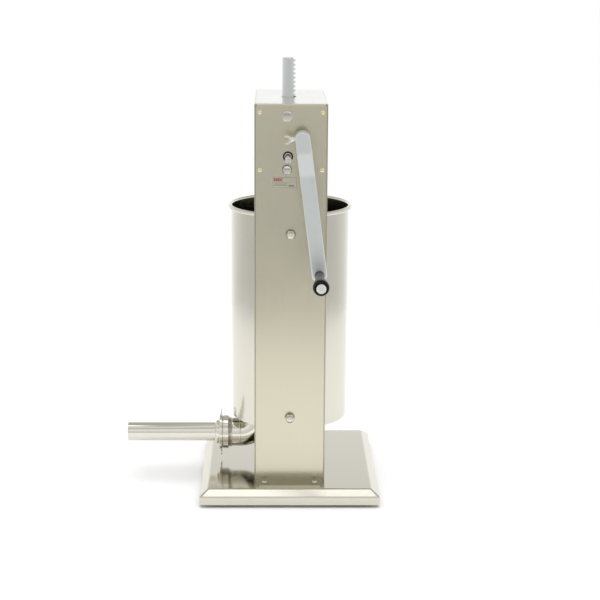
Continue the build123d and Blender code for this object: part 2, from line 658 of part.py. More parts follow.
with BuildPart() as slow_shaft_key:
    key_block(SLOW_X, SLOW_Z, SLOW_GEAR_ENDS)
write(slow_shaft_key, "slow_shaft_key")

with BuildPart() as slow_shaft_rings:
    for ring_y in SLOW_RINGS:
        round_y(SLOW_X, SLOW_Z, RING_R, (ring_y, ring_y + RING_T))
        round_y(SLOW_X, SLOW_Z, RING_GROOVE_R, (ring_y, ring_y + RING_T), Mode.SUBTRACT)
write(slow_shaft_rings, "slow_shaft_rings")

# ================================================================ rack
PITCH_LINE = FAST_X - PINION_R
GAP_TAN = tan(radians(PRESSURE))
GAP_HALF = PITCH / 4 + BACKLASH / 2
GAP_MOUTH = RACK_ADDENDUM + 1
GAPS = RACK_LAST_GAP - RACK_FIRST_GAP + 1
GAP_MIDDLE = FAST_Z + PITCH * (RACK_FIRST_GAP + RACK_LAST_GAP) / 2
with BuildPart() as rack:
    round_z(RACK_X, 0, RACK_R, (RACK_BOTTOM, RACK_TOP))
    chamfer(rack.edges().filter_by(GeomType.CIRCLE).sort_by(Axis.Z)[-1], 1.5)
    with BuildSketch(front_plane(PITCH_LINE, RACK_R + 1, GAP_MIDDLE)):
        with GridLocations(0, PITCH, 1, GAPS):
            Polygon(
                (-RACK_DEDENDUM, GAP_HALF - RACK_DEDENDUM * GAP_TAN),
                (-RACK_DEDENDUM, -GAP_HALF + RACK_DEDENDUM * GAP_TAN),
                (GAP_MOUTH, -GAP_HALF - GAP_MOUTH * GAP_TAN),
                (GAP_MOUTH, GAP_HALF + GAP_MOUTH * GAP_TAN),
                align=None,
            )
    extrude(amount=2 * RACK_R + 2, mode=Mode.SUBTRACT)
    round_z(RACK_X, 0, SPIGOT_R, (DISC_Z + 1, RACK_BOTTOM))
write(rack, "rack")

# ================================================================ piston
CLAMP_Z = DISC_Z + DISC_T + SEAL_H
POCKET = 8.0
with BuildPart() as piston_disc:
    round_z(0, 0, DISC_R, (DISC_Z, DISC_Z + DISC_T))
    fillet(piston_disc.edges().group_by(Axis.Z)[0], 2)
    round_z(RACK_X, 0, BOSS_R, (DISC_Z + DISC_T, RACK_BOTTOM))
    round_z(RACK_X, 0, SPIGOT_R, (DISC_Z, RACK_BOTTOM), Mode.SUBTRACT)
    round_z(RACK_X, 0, 12.0, (DISC_Z - 1, DISC_Z + POCKET), Mode.SUBTRACT)
    round_z(VALVE_X, 0, 6.0, (DISC_Z - 1, DISC_Z + DISC_T), Mode.SUBTRACT)
write(piston_disc, "piston_disc")

with BuildPart() as piston_nut:
    hexagon_z(RACK_X, 0, 18.0, (DISC_Z + 1, DISC_Z + POCKET))
    round_z(RACK_X, 0, SPIGOT_R, (DISC_Z + 1, DISC_Z + POCKET), Mode.SUBTRACT)
write(piston_nut, "piston_nut")

with BuildPart() as piston_seal:
    with BuildSketch(Plane.XZ):
        with BuildLine():
            Polyline(
                (86.0, DISC_Z + DISC_T),
                (SEAL_R - 1, DISC_Z + DISC_T),
                (SEAL_R, DISC_Z + DISC_T + 2),
                (SEAL_R - 1.2, DISC_Z + DISC_T + SEAL_H / 2),
                (SEAL_R, CLAMP_Z - 2),
                (SEAL_R - 1, CLAMP_Z),
                (86.0, CLAMP_Z),
                (86.0, DISC_Z + DISC_T),
            )
        make_face()
    revolve(axis=Axis.Z)
write(piston_seal, "piston_seal")

with BuildPart() as piston_clamp_disc:
    round_z(0, 0, DISC_R, (CLAMP_Z, CLAMP_Z + CLAMP_T))
    round_z(RACK_X, 0, BOSS_R, (CLAMP_Z, CLAMP_Z + CLAMP_T), Mode.SUBTRACT)
    round_z(VALVE_X, 0, 2.8, (CLAMP_Z, CLAMP_Z + CLAMP_T), Mode.SUBTRACT)
write(piston_clamp_disc, "piston_clamp_disc")

# air valve: a plug in the disc, held down by a small spring
VALVE_SEAT = DISC_Z + DISC_T
with BuildPart() as air_valve:
    round_z(VALVE_X, 0, 5.6, (DISC_Z + 1, VALVE_SEAT + 0.3))
    round_z(VALVE_X, 0, 8.0, (VALVE_SEAT + 0.3, VALVE_SEAT + 3))
    round_z(VALVE_X, 0, 2.5, (VALVE_SEAT + 3, RACK_BOTTOM - 3))
write(air_valve, "air_valve")

SPRING_WIRE = 0.5
SPRING_LOW = VALVE_SEAT + 3 + SPRING_WIRE + 0.1
SPRING_HIGH = CLAMP_Z - SPRING_WIRE - 0.1
with BuildPart() as air_valve_spring:
    with BuildLine() as coil:
        Helix((SPRING_HIGH - SPRING_LOW) / 3, SPRING_HIGH - SPRING_LOW, 4.4, center=(VALVE_X, 0, SPRING_LOW))
    with BuildSketch(Plane(origin=coil.line @ 0, z_dir=coil.line % 0)):
        Circle(SPRING_WIRE)
    sweep()
write(air_valve_spring, "air_valve_spring")

# ================================================================ crank
TILT = radians(CRANK_TILT)
GRIP_X = FAST_X + CRANK_R * sin(TILT)
GRIP_Z = FAST_Z - CRANK_R * cos(TILT)
ARM_OUTER = ARM_INNER - ARM_JOG


def crank_front(y):
    """Sketch plane across the crank axis, with its y axis along the arm."""
    return Plane(origin=(FAST_X, y, FAST_Z), x_dir=(cos(TILT), 0, sin(TILT)), z_dir=(0, -1, 0))


WING_DIR = (-cos(TILT), 0, -sin(TILT))


def wing_plane(distance):
    """Sketch plane across the wing screw, at a distance from the crank axis."""
    origin = (FAST_X + distance * WING_DIR[0], WING_Y, FAST_Z + distance * WING_DIR[2])
    return Plane(origin=origin, x_dir=(0, 1, 0), z_dir=WING_DIR)


with BuildPart() as crank_hub:
    round_y(FAST_X, FAST_Z, HUB_R, (ARM_INNER, HUB_BACK))
    chamfer(crank_hub.edges().group_by(Axis.Y)[-1], 1.0)
    round_y(FAST_X, FAST_Z, STUB_R + RUN, (FAST_ENDS[0] - 1, HUB_BACK + 1), Mode.SUBTRACT)
    with BuildSketch(wing_plane(0)):
        Circle(3.06)
    extrude(amount=HUB_R + 2, mode=Mode.SUBTRACT)
write(crank_hub, "crank_hub")

ARM_SIDE = Plane(origin=(FAST_X, 0, FAST_Z), x_dir=(0, -1, 0), z_dir=WING_DIR)
with BuildPart() as crank_arm:
    with BuildSketch(ARM_SIDE):
        with BuildLine():
            Polyline(
                (-ARM_INNER, HUB_R + 2),
                (-ARM_INNER, ARM_BEND[0]),
                (-ARM_OUTER, ARM_BEND[1]),
                (-ARM_OUTER, -CRANK_R - HUB_R - 2),
                (-ARM_OUTER + ARM_T, -CRANK_R - HUB_R - 2),
                (-ARM_OUTER + ARM_T, ARM_BEND[1] + 1),
                (-ARM_INNER + ARM_T, ARM_BEND[0] + 1),
                (-ARM_INNER + ARM_T, HUB_R + 2),
                (-ARM_INNER, HUB_R + 2),
            )
        make_face()
    extrude(amount=HUB_R + 5, both=True)
    with BuildSketch(crank_front(ARM_INNER + 5)):
        with Locations(Location((0, -CRANK_R / 2, 0), 90)):
            SlotCenterToCenter(CRANK_R, 2 * HUB_R)
    extrude(amount=ARM_JOG + ARM_T + 12, mode=Mode.INTERSECT)
    bends = crank_arm.edges().filter_by(GeomType.LINE).filter_by(lambda e: abs(e.length - 2 * HUB_R) < 0.01)
    fillet(bends, 4)
    round_y(GRIP_X, GRIP_Z, AXLE_R, (ARM_OUTER - ARM_T - 1, ARM_OUTER + 1), Mode.SUBTRACT)
write(crank_arm, "crank_arm")

with BuildPart() as grip_axle:
    round_y(GRIP_X, GRIP_Z, AXLE_R, (GRIP_END - 0.5, ARM_OUTER))
    round_y(GRIP_X, GRIP_Z, 6.5, (ARM_OUTER, ARM_OUTER + 2.5))
    round_y(GRIP_X, GRIP_Z, 7.5, (GRIP_END - 3.2, GRIP_END - 0.4))
    chamfer(grip_axle.edges().group_by(Axis.Y)[0], 0.7)
    hexagon_y(GRIP_X, GRIP_Z, 6.0, (GRIP_END - 4, GRIP_END - 1.2), Mode.SUBTRACT)
write(grip_axle, "grip_axle")

GRIP_SIDE = Plane(origin=(GRIP_X, 0, GRIP_Z), x_dir=(0, -1, 0), z_dir=(-1, 0, 0))
with BuildPart() as grip:
    with BuildSketch(GRIP_SIDE):
        with BuildLine():
            Polyline((-GRIP_FRONT, 0), (-GRIP_FRONT, 7.6), (-GRIP_FRONT + 2, 7.9))
            Spline(
                (-GRIP_FRONT + 2, 7.9),
                (-GRIP_FRONT + 12, GRIP_NECK),
                (-GRIP_FRONT + 38, 8.6),
                (-GRIP_FRONT + 66, 12.2),
                (-GRIP_END - 8, GRIP_R),
            )
            JernArc((-GRIP_END - 8, GRIP_R), (1, 0), 4, -90)
            Polyline((-GRIP_END - 4, GRIP_R - 4), (-GRIP_END, GRIP_R - 4.5), (-GRIP_END, 0), (-GRIP_FRONT, 0))
        make_face()
    revolve(axis=Axis((GRIP_X, 0, GRIP_Z), (0, -1, 0)))
    round_y(GRIP_X, GRIP_Z, AXLE_R + 0.08, (GRIP_END - 1, GRIP_FRONT + 1), Mode.SUBTRACT)
write(grip, "grip")

WING_TIP = STUB_R + 0.4
WING_BASE = 14.0
WING_SPAN = 7.3
with BuildPart() as wing_screw:
    with BuildSketch(wing_plane(WING_TIP)):
        Circle(3.0)
    extrude(amount=WING_BASE - WING_TIP)
    with BuildSketch(wing_plane(WING_BASE)):
        Circle(4.2)
    extrude(amount=5)
    wing_side = Plane(origin=wing_plane(WING_BASE).origin, x_dir=WING_DIR, z_dir=(0, -1, 0))
    with BuildSketch(wing_side):
        with BuildLine():
            Polyline((1, 0), (1, 3.6), (8, WING_SPAN), (14, WING_SPAN), (14.5, 5), (8, 1.8), (6, 0), (1, 0))
        make_face()
        mirror(about=Plane.XZ)
    extrude(amount=1.6, both=True)
write(wing_screw, "wing_screw")

# ================================================================ cylinder, floor, outlet elbow
CYL_IN = CYL_R - CYL_WALL
with BuildPart() as cylinder_shell:
    with BuildSketch(Plane.XZ):
        with BuildLine():
            Polyline(
                (CYL_IN, CYL_BOTTOM), (CYL_R, CYL_BOTTOM), (CYL_R, RIM_Z), (CYL_IN, RIM_Z), (CYL_IN, CYL_BOTTOM)
            )
        make_face()
        with Locations((CYL_IN + RIM_R, RIM_Z)):
            Circle(RIM_R)
    revolve(axis=Axis.Z)
write(cylinder_shell, "cylinder_shell")

PIPE_IN = PIPE_R - PIPE_WALL
with BuildPart() as cylinder_floor:
    round_z(0, 0, CYL_IN, (CYL_BOTTOM, CYL_BOTTOM + FLOOR_T))
    round_z(ELBOW_X, 0, PIPE_IN, (CYL_BOTTOM - 1, CYL_BOTTOM + FLOOR_T + 1), Mode.SUBTRACT)
write(cylinder_floor, "cylinder_floor")

BEND_R = CYL_BOTTOM - OUTLET_Z
with BuildPart() as outlet_elbow:
    with BuildLine(Plane.XZ):
        JernArc((ELBOW_X, CYL_BOTTOM), (0, -1), BEND_R, -90)
    with BuildSketch(Plane(origin=(ELBOW_X, 0, CYL_BOTTOM), z_dir=(0, 0, -1))):
        Circle(PIPE_R)
        Circle(PIPE_IN, mode=Mode.SUBTRACT)
    sweep()
write(outlet_elbow, "outlet_elbow")

# a turned spout: the thread in front, and a plain tail that is welded to the elbow
with BuildPart() as threaded_spout:
    round_x(0, OUTLET_Z, SPOUT_R, SPOUT_ENDS)
    round_x(0, OUTLET_Z, PIPE_R, (SPOUT_ENDS[1], ELBOW_X - BEND_R))
    round_x(0, OUTLET_Z, PIPE_IN, (SPOUT_ENDS[0], ELBOW_X - BEND_R), Mode.SUBTRACT)
write(threaded_spout, "threaded_spout")

# ================================================================ nozzle, gasket, ring nut
OUTLET_AXIS = Axis((0, 0, OUTLET_Z), (1, 0, 0))
FLANGE_X = (SPOUT_ENDS[0] - 4.6, SPOUT_ENDS[0] - 2.2)
with BuildPart() as nozzle:
    with BuildSketch(Plane.XZ):
        with BuildLine():
            Polyline(
                (NOZZLE_TIP, OUTLET_Z + NOZZLE_R - 1.2),
                (NOZZLE_TIP, OUTLET_Z + NOZZLE_R),
                (-128.5, OUTLET_Z + NOZZLE_R),
                (-126.0, OUTLET_Z + COLLAR_R),
                (FLANGE_X[0], OUTLET_Z + COLLAR_R),
                (FLANGE_X[0], OUTLET_Z + FLANGE_R),
                (FLANGE_X[1], OUTLET_Z + FLANGE_R),
                (FLANGE_X[1], OUTLET_Z + COLLAR_R - 1.5),
                (-125.0, OUTLET_Z + COLLAR_R - 1.5),
                (-127.5, OUTLET_Z + NOZZLE_R - 1.2),
                (NOZZLE_TIP, OUTLET_Z + NOZZLE_R - 1.2),
            )
        make_face()
    revolve(axis=OUTLET_AXIS)
write(nozzle, "nozzle")

GASKET_X = (FLANGE_X[1], SPOUT_ENDS[0] - 0.3)
with BuildPart() as nozzle_gasket:
    round_x(0, OUTLET_Z, FLANGE_R - 0.5, GASKET_X)
    round_x(0, OUTLET_Z, COLLAR_R - 1.5, GASKET_X, Mode.SUBTRACT)
write(nozzle_gasket, "nozzle_gasket")

EAR_X = (NUT_ENDS[0] + 1.6, NUT_ENDS[0] + NUT_FLANGE)
EAR_R = 40.5
with BuildPart() as ring_nut:
    round_x(0, OUTLET_Z, NUT_R, NUT_ENDS)
    round_x(0, OUTLET_Z, NUT_FLANGE_R, (NUT_ENDS[0], NUT_ENDS[0] + NUT_FLANGE))
    chamfer(ring_nut.edges().filter_by(GeomType.CIRCLE), 0.6)
    for side in (-1, 1):
        with BuildSketch(Plane.YZ.offset(EAR_X[0])) as ear:
            with Locations((0, OUTLET_Z + side * (NUT_R - 1 + EAR_R) / 2)):
                Rectangle(9, EAR_R - NUT_R + 1)
            with Locations((0, OUTLET_Z + side * (EAR_R - 4))):
                SlotOverall(20, 8)
        extrude(ear.sketch, amount=EAR_X[1] - EAR_X[0])
    round_x(0, OUTLET_Z, NUT_BORE, (FLANGE_X[0] - 0.2, NUT_ENDS[1] + 1), Mode.SUBTRACT)
    round_x(0, OUTLET_Z, COLLAR_R + 0.5, (NUT_ENDS[0] - 1, NUT_ENDS[1]), Mode.SUBTRACT)
write(ring_nut, "ring_nut")

# ================================================================ cylinder supports
SADDLE_IN = CYL_R + SADDLE_GAP
SADDLE_OUT = SADDLE_IN + SADDLE_T
with BuildPart() as upper_saddle:
    with BuildSketch(Plane.XY.offset(SADDLE_Z[0])):
        Circle(SADDLE_OUT)
        with Locations((0, -SADDLE_OUT / 2 - 20)):
            Rectangle(96, SADDLE_OUT, mode=Mode.INTERSECT)
        with Locations((0, (WEB_IN - SADDLE_IN + 3) / 2)):
            Rectangle(32, -WEB_IN - SADDLE_IN + 3)
        Circle(SADDLE_IN, mode=Mode.SUBTRACT)
    extrude(amount=SADDLE_Z[1] - SADDLE_Z[0])
    round_y(0, UPPER_NUT_Z, M8_R, (WEB_IN - 1, -SADDLE_IN + 3), Mode.SUBTRACT)
    round_y(0, UPPER_NUT_Z, 7.2, (WEB_IN + 2.5, -SADDLE_IN + 3), Mode.SUBTRACT)
write(upper_saddle, "upper_saddle")

with BuildPart() as lower_bracket:
    block((-BRACKET_HALF, BRACKET_HALF), (WEB_IN, WEB_IN + BRACKET_T), BRACKET_Z)
    fillet(lower_bracket.edges().filter_by(Axis.Y), 8)
    block((-SHELF_HALF, SHELF_HALF), (WEB_IN, SHELF_REACH), (SHELF_TOP - BRACKET_T, SHELF_TOP))
    with BuildSketch(Plane.YZ.offset(-SHELF_HALF)):
        with BuildLine():
            Polyline(
                (WEB_IN, SHELF_TOP),
                (WEB_IN, BRACKET_Z[0] + 2),
                (WEB_IN + 20, BRACKET_Z[0] + 2),
                (SHELF_REACH, SHELF_TOP - 10),
                (SHELF_REACH, SHELF_TOP),
                (WEB_IN, SHELF_TOP),
            )
        make_face()
    extrude(amount=BRACKET_T)
    with BuildSketch(Plane.YZ.offset(SHELF_HALF - BRACKET_T)):
        with BuildLine():
            Polyline(
                (WEB_IN, SHELF_TOP),
                (WEB_IN, BRACKET_Z[0] + 2),
                (WEB_IN + 20, BRACKET_Z[0] + 2),
                (SHELF_REACH, SHELF_TOP - 10),
                (SHELF_REACH, SHELF_TOP),
                (WEB_IN, SHELF_TOP),
            )
        make_face()
    extrude(amount=BRACKET_T)
    round_y(0, LOWER_NUT_Z, M8_R, (WEB_IN - 1, WEB_IN + BRACKET_T + 1), Mode.SUBTRACT)
write(lower_bracket, "lower_bracket")

with BuildPart() as bracket_bolts:
    for z in (LOWER_NUT_Z, UPPER_NUT_Z):
        round_y(0, z, 6.6, (WEB_IN + BRACKET_T, WEB_IN + BRACKET_T + 3.4))
        round_y(0, z, M8_R, (FACE_Y - WASHER_T - 10, WEB_IN + BRACKET_T))
write(bracket_bolts, "bracket_bolts")

with BuildPart() as bracket_washers:
    for z in (LOWER_NUT_Z, UPPER_NUT_Z):
        round_y(0, z, 8.4, (FACE_Y - WASHER_T, FACE_Y))
        round_y(0, z, M8_R, (FACE_Y - WASHER_T, FACE_Y), Mode.SUBTRACT)
write(bracket_washers, "bracket_washers")

NUT_BACK = FACE_Y - WASHER_T
DOME_R = 6.3
with BuildPart() as acorn_nuts:
    for z in (LOWER_NUT_Z, UPPER_NUT_Z):
        hexagon_y(0, z, 13.0, (NUT_BACK - 7, NUT_BACK))
        round_y(0, z, DOME_R, (NUT_BACK - 10, NUT_BACK - 7))
        with Locations((0, NUT_BACK - 10, z)):
            Sphere(DOME_R)
        round_y(0, z, M8_R, (NUT_BACK - 10, NUT_BACK), Mode.SUBTRACT)
write(acorn_nuts, "acorn_nuts")

# ================================================================ blank warning plate
LABEL_X = (-30.4, 9.6)
LABEL_Z = (528.0, 546.6)
with BuildPart() as label_plate:
    block(LABEL_X, (FACE_Y - 0.6, FACE_Y), LABEL_Z)
    fillet(label_plate.edges().filter_by(Axis.Y), 1.5)
write(label_plate, "label_plate")
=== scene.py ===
import json
from math import cos, pi, radians, sin, sqrt, tan

import bmesh
import bpy
from mathutils import Matrix, Vector


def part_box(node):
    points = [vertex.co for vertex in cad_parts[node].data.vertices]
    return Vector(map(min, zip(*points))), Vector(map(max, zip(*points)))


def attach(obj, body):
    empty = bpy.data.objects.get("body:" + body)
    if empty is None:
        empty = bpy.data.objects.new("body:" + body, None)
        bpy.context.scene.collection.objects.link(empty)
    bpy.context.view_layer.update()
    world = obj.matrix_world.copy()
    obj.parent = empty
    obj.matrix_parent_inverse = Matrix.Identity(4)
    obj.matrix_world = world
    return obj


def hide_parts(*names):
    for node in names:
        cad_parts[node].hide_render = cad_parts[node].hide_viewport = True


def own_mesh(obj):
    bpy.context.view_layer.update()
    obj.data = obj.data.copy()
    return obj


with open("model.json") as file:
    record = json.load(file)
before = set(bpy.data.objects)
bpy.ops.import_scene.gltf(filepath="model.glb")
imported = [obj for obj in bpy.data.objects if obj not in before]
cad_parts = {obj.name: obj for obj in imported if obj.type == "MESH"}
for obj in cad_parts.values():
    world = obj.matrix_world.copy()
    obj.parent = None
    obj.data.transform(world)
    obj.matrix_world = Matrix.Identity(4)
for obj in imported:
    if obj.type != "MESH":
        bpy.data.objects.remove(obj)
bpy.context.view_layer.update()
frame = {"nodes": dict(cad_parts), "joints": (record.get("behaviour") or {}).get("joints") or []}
NODES = frame["nodes"]
MM = 0.001

# ------------------------------------------------------------------ places, from the CAD
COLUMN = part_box("column")
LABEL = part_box("label_plate")
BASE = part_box("base_pan")
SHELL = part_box("cylinder_shell")
FACE_Y = LABEL[1].y
HEAD_TOP = COLUMN[1].z
OUTLET_Z = (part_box("nozzle")[0].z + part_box("nozzle")[1].z) / 2
JOINTS = {joint["name"]: joint for joint in frame["joints"]}
FAST = Vector(JOINTS["fast_shaft_turn"]["pos_m"])
SLOW = Vector(JOINTS["slow_shaft_turn"]["pos_m"])
GRIP = Vector(JOINTS["grip_spin"]["pos_m"])


def centre(node):
    low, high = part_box(node)
    return (low + high) / 2


# ------------------------------------------------------------------ mesh helpers
BOX_FACES = ((0, 1, 3, 2), (4, 6, 7, 5), (0, 4, 5, 1), (2, 3, 7, 6), (0, 2, 6, 4), (1, 5, 7, 3))


def new_object(name, mesh_or_bm, material, body, replaced=(), smooth=True):
    """Link a finished mesh as a piece of the stuffer."""
    if isinstance(mesh_or_bm, bmesh.types.BMesh):
        mesh = bpy.data.meshes.new(name)
        mesh_or_bm.to_mesh(mesh)
        mesh_or_bm.free()
    else:
        mesh = mesh_or_bm
    if smooth:
        mesh.shade_smooth()
    obj = bpy.data.objects.new(name, mesh)
    bpy.context.scene.collection.objects.link(obj)
    mesh.materials.clear()
    mesh.materials.append(material)
    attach(obj, body)
    if replaced:
        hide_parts(*replaced)
    return obj


def soft_edges(obj, width, segments=3, angle=32):
    """Round the edges of a clean mesh and keep its flats flat."""
    bevel = obj.modifiers.new("edge", "BEVEL")
    bevel.width = width
    bevel.segments = segments
    bevel.limit_method = "ANGLE"
    bevel.angle_limit = radians(angle)
    normals = obj.modifiers.new("normals", "WEIGHTED_NORMAL")
    normals.keep_sharp = True
    return obj


def baked(bm, modifiers):
    """A mesh with boolean cutters and other modifiers applied."""
    mesh = bpy.data.meshes.new("work")
    bm.to_mesh(mesh)
    bm.free()
    obj = bpy.data.objects.new("work", mesh)
    bpy.context.scene.collection.objects.link(obj)
    made = [obj]
    for kind, settings in modifiers:
        modifier = obj.modifiers.new(kind, kind)
        for key, value in settings.items():
            if key == "cutter":
                cut_mesh = bpy.data.meshes.new("cutter")
                value.to_mesh(cut_mesh)
                value.free()
                cutter = bpy.data.objects.new("cutter", cut_mesh)
                bpy.context.scene.collection.objects.link(cutter)
                made.append(cutter)
                modifier.object = cutter
                modifier.operation = "DIFFERENCE"
                modifier.solver = "EXACT"
            else:
                setattr(modifier, key, value)
    bpy.context.view_layer.update()
    graph = bpy.context.evaluated_depsgraph_get()
    result = bpy.data.meshes.new_from_object(obj.evaluated_get(graph))
    for item in made:
        bpy.data.objects.remove(item)
    return result


def box_bm(low, high, bm=None):
    """An axis-aligned box between two corners."""
    bm = bm or bmesh.new()
    corners = []
    for x in (low[0], high[0]):
        for y in (low[1], high[1]):
            for z in (low[2], high[2]):
                corners.append(bm.verts.new((x, y, z)))
    for face in BOX_FACES:
        bm.faces.new([corners[i] for i in face])
    return bm


def axes_of(direction):
    """Two unit vectors across a direction."""
    direction = Vector(direction).normalized()
    side = Vector((0, 0, 1)) if abs(direction.z) < 0.9 else Vector((1, 0, 0))
    across = direction.cross(side).normalized()
    return across, direction.cross(across).normalized()


def on_circle(middle, across, up, radius, angle):
    """The point of a circle about a middle, at an angle from one of two directions across its axis."""
    return middle + across * (radius * cos(angle)) + up * (radius * sin(angle))


def lathe(profile, origin, direction, turns=96, bm=None, radius_at=None, closed=True):
    """Revolve (radius, distance) points about an axis. radius_at may reshape each ring by angle."""
    bm = bm or bmesh.new()
    origin, direction = Vector(origin), Vector(direction).normalized()
    across, up = axes_of(direction)
    rings = []
    for radius, distance in profile:
        if radius < 1e-7:
            rings.append([bm.verts.new(origin + direction * distance)])
            continue
        ring = []
        for step in range(turns):
            angle = 2 * pi * step / turns
            r = radius_at(radius, angle) if radius_at else radius
            ring.append(bm.verts.new(on_circle(origin + direction * distance, across, up, r, angle)))
        rings.append(ring)
    pairs = list(zip(rings, rings[1:]))
    if closed and len(rings[0]) > 1 and len(rings[-1]) > 1:
        pairs.append((rings[-1], rings[0]))
    for a, b in pairs:
        for step in range(turns):
            after = (step + 1) % turns
            if len(a) == 1 and len(b) > 1:
                bm.faces.new((a[0], b[step], b[after]))
            elif len(b) == 1 and len(a) > 1:
                bm.faces.new((a[step], b[0], a[after]))
            elif len(a) > 1 and len(b) > 1:
                bm.faces.new((a[step], b[step], b[after], a[after]))
    bmesh.ops.recalc_face_normals(bm, faces=bm.faces)
    return bm


def arc(cx, cy, radius, start, end, steps):
    """Points on an arc, angles in degrees, as (x, y) pairs."""
    points = []
    for step in range(steps + 1):
        angle = radians(start + (end - start) * step / steps)
        points.append((cx + radius * cos(angle), cy + radius * sin(angle)))
    return points


def prism(outline, origin, x_dir, y_dir, depth, bm=None):
    """Extrude a flat outline; depth runs along x_dir cross y_dir."""
    bm = bm or bmesh.new()
    origin, x_dir, y_dir = Vector(origin), Vector(x_dir), Vector(y_dir)
    normal = x_dir.cross(y_dir).normalized()
    low = [bm.verts.new(origin + x_dir * x + y_dir * y) for x, y in outline]
    high = [bm.verts.new(v.co + normal * depth) for v in low]
    bm.faces.new(low[::-1])
    bm.faces.new(high)
    count = len(outline)
    for step in range(count):
        after = (step + 1) % count
        bm.faces.new((low[step], low[after], high[after], high[step]))
    bmesh.ops.recalc_face_normals(bm, faces=bm.faces)
    return bm


def rounded_rectangle(half_x, half_y, radius, steps=8):
    points = []
    for cx, cy, start in ((1, 1, 0), (-1, 1, 90), (-1, -1, 180), (1, -1, 270)):
        points += arc(cx * (half_x - radius), cy * (half_y - radius), radius, start, start + 90, steps)
    return points


def hexagon(across_flats, angle):
    """Radius of a hexagon's outline at an angle."""
    folded = (angle + pi / 6) % (pi / 3) - pi / 6
    return across_flats / 2 / cos(folded)


# ------------------------------------------------------------------ materials
CLOUD_SCALE = 14.0
BUMP_DEPTH = 0.2 * MM
LEAST_ROUGHNESS = 0.03
# the colour sockets of a mix node, by number because its float and vector ones have the same names
MIX_A, MIX_B, MIX_RESULT = 6, 7, 2


def colour(red, green, blue):
    return (red, green, blue, 1.0)


def material(name, base, metallic, roughness, grain, grain_bump, grain_rough, grain_tint,
             cloud_rough=0.05, cloud_tint=0.03, specular=None):
    """A surface with a fine directional grain and broad, faint clouds of handling."""
    mat = bpy.data.materials.new(name)
    mat.use_nodes = True
    tree = mat.node_tree
    tree.nodes.clear()
    out = tree.nodes.new("ShaderNodeOutputMaterial")
    shader = tree.nodes.new("ShaderNodeBsdfPrincipled")
    tree.links.new(shader.outputs["BSDF"], out.inputs["Surface"])
    shader.inputs["Metallic"].default_value = metallic
    if specular is not None:
        shader.inputs["Specular IOR Level"].default_value = specular
    place = tree.nodes.new("ShaderNodeTexCoord")
    stretch = tree.nodes.new("ShaderNodeMapping")
    stretch.inputs["Scale"].default_value = grain
    tree.links.new(place.outputs["Object"], stretch.inputs["Vector"])
    fine = tree.nodes.new("ShaderNodeTexNoise")
    fine.inputs["Scale"].default_value = 1.0
    fine.inputs["Detail"].default_value = 4.0
    fine.inputs["Roughness"].default_value = 0.6
    tree.links.new(stretch.outputs["Vector"], fine.inputs["Vector"])
    broad = tree.nodes.new("ShaderNodeTexNoise")
    broad.inputs["Scale"].default_value = CLOUD_SCALE
    broad.inputs["Detail"].default_value = 3.0
    tree.links.new(place.outputs["Object"], broad.inputs["Vector"])

    def centred(source, amount):
        node = tree.nodes.new("ShaderNodeMapRange")
        node.inputs["From Min"].default_value = 0.3
        node.inputs["From Max"].default_value = 0.7
        node.inputs["To Min"].default_value = -amount
        node.inputs["To Max"].default_value = amount
        tree.links.new(source.outputs["Fac"], node.inputs["Value"])
        return node.outputs["Result"]

    def add(a, b):
        node = tree.nodes.new("ShaderNodeMath")
        node.operation = "ADD"
        tree.links.new(a, node.inputs[0])
        if isinstance(b, float):
            node.inputs[1].default_value = b
        else:
            tree.links.new(b, node.inputs[1])
        return node.outputs[0]

    rough = add(add(centred(fine, grain_rough), centred(broad, cloud_rough)), roughness)
    clamp = tree.nodes.new("ShaderNodeClamp")
    clamp.inputs["Min"].default_value = LEAST_ROUGHNESS
    tree.links.new(rough, clamp.inputs["Value"])
    tree.links.new(clamp.outputs["Result"], shader.inputs["Roughness"])
    tint = add(add(centred(fine, grain_tint), centred(broad, cloud_tint)), 1.0)
    paint = tree.nodes.new("ShaderNodeMix")
    paint.data_type = "RGBA"
    paint.blend_type = "MULTIPLY"
    paint.inputs["Factor"].default_value = 1.0
    paint.inputs[MIX_A].default_value = colour(*base)
    tree.links.new(tint, paint.inputs[MIX_B])
    tree.links.new(paint.outputs[MIX_RESULT], shader.inputs["Base Color"])
    bump = tree.nodes.new("ShaderNodeBump")
    bump.inputs["Strength"].default_value = grain_bump
    bump.inputs["Distance"].default_value = BUMP_DEPTH
    tree.links.new(fine.outputs["Fac"], bump.inputs["Height"])
    tree.links.new(bump.outputs["Normal"], shader.inputs["Normal"])
    return mat


UP_GRAIN = (900, 900, 7)
SIDE_GRAIN = (9, 900, 900)
AWAY_GRAIN = (900, 9, 900)
SPIN_GRAIN = (60, 2400, 60)
COLUMN_STEEL = material("column_steel", (0.640, 0.605, 0.475), 1.0, 0.25, UP_GRAIN, 0.07, 0.02, 0.014,
                        0.015, 0.012)
BASE_STEEL = material("base_steel", (0.655, 0.630, 0.550), 1.0, 0.13, AWAY_GRAIN, 0.03, 0.02, 0.010, 0.015,
                      0.008)
BEVEL_STEEL = material("bevel_steel", (0.66, 0.635, 0.555), 1.0, 0.19, AWAY_GRAIN, 0.04, 0.03, 0.012, 0.02,
                       0.01)
BRACKET_STEEL = material("bracket_steel", (0.58, 0.57, 0.52), 1.0, 0.32, SIDE_GRAIN, 0.2, 0.06, 0.04)
CYLINDER_STEEL = material("cylinder_steel", (0.68, 0.66, 0.58), 1.0, 0.17, (700, 700, 5), 0.06, 0.02,
                          0.012, 0.015, 0.01)
CHROME = material("polished_steel", (0.74, 0.72, 0.64), 1.0, 0.06, (90, 90, 90), 0.01, 0.012, 0.01, 0.015,
                  0.01)
BRIGHT = material("bright_fasteners", (0.66, 0.64, 0.58), 1.0, 0.11, (260, 260, 260), 0.05, 0.05, 0.03)
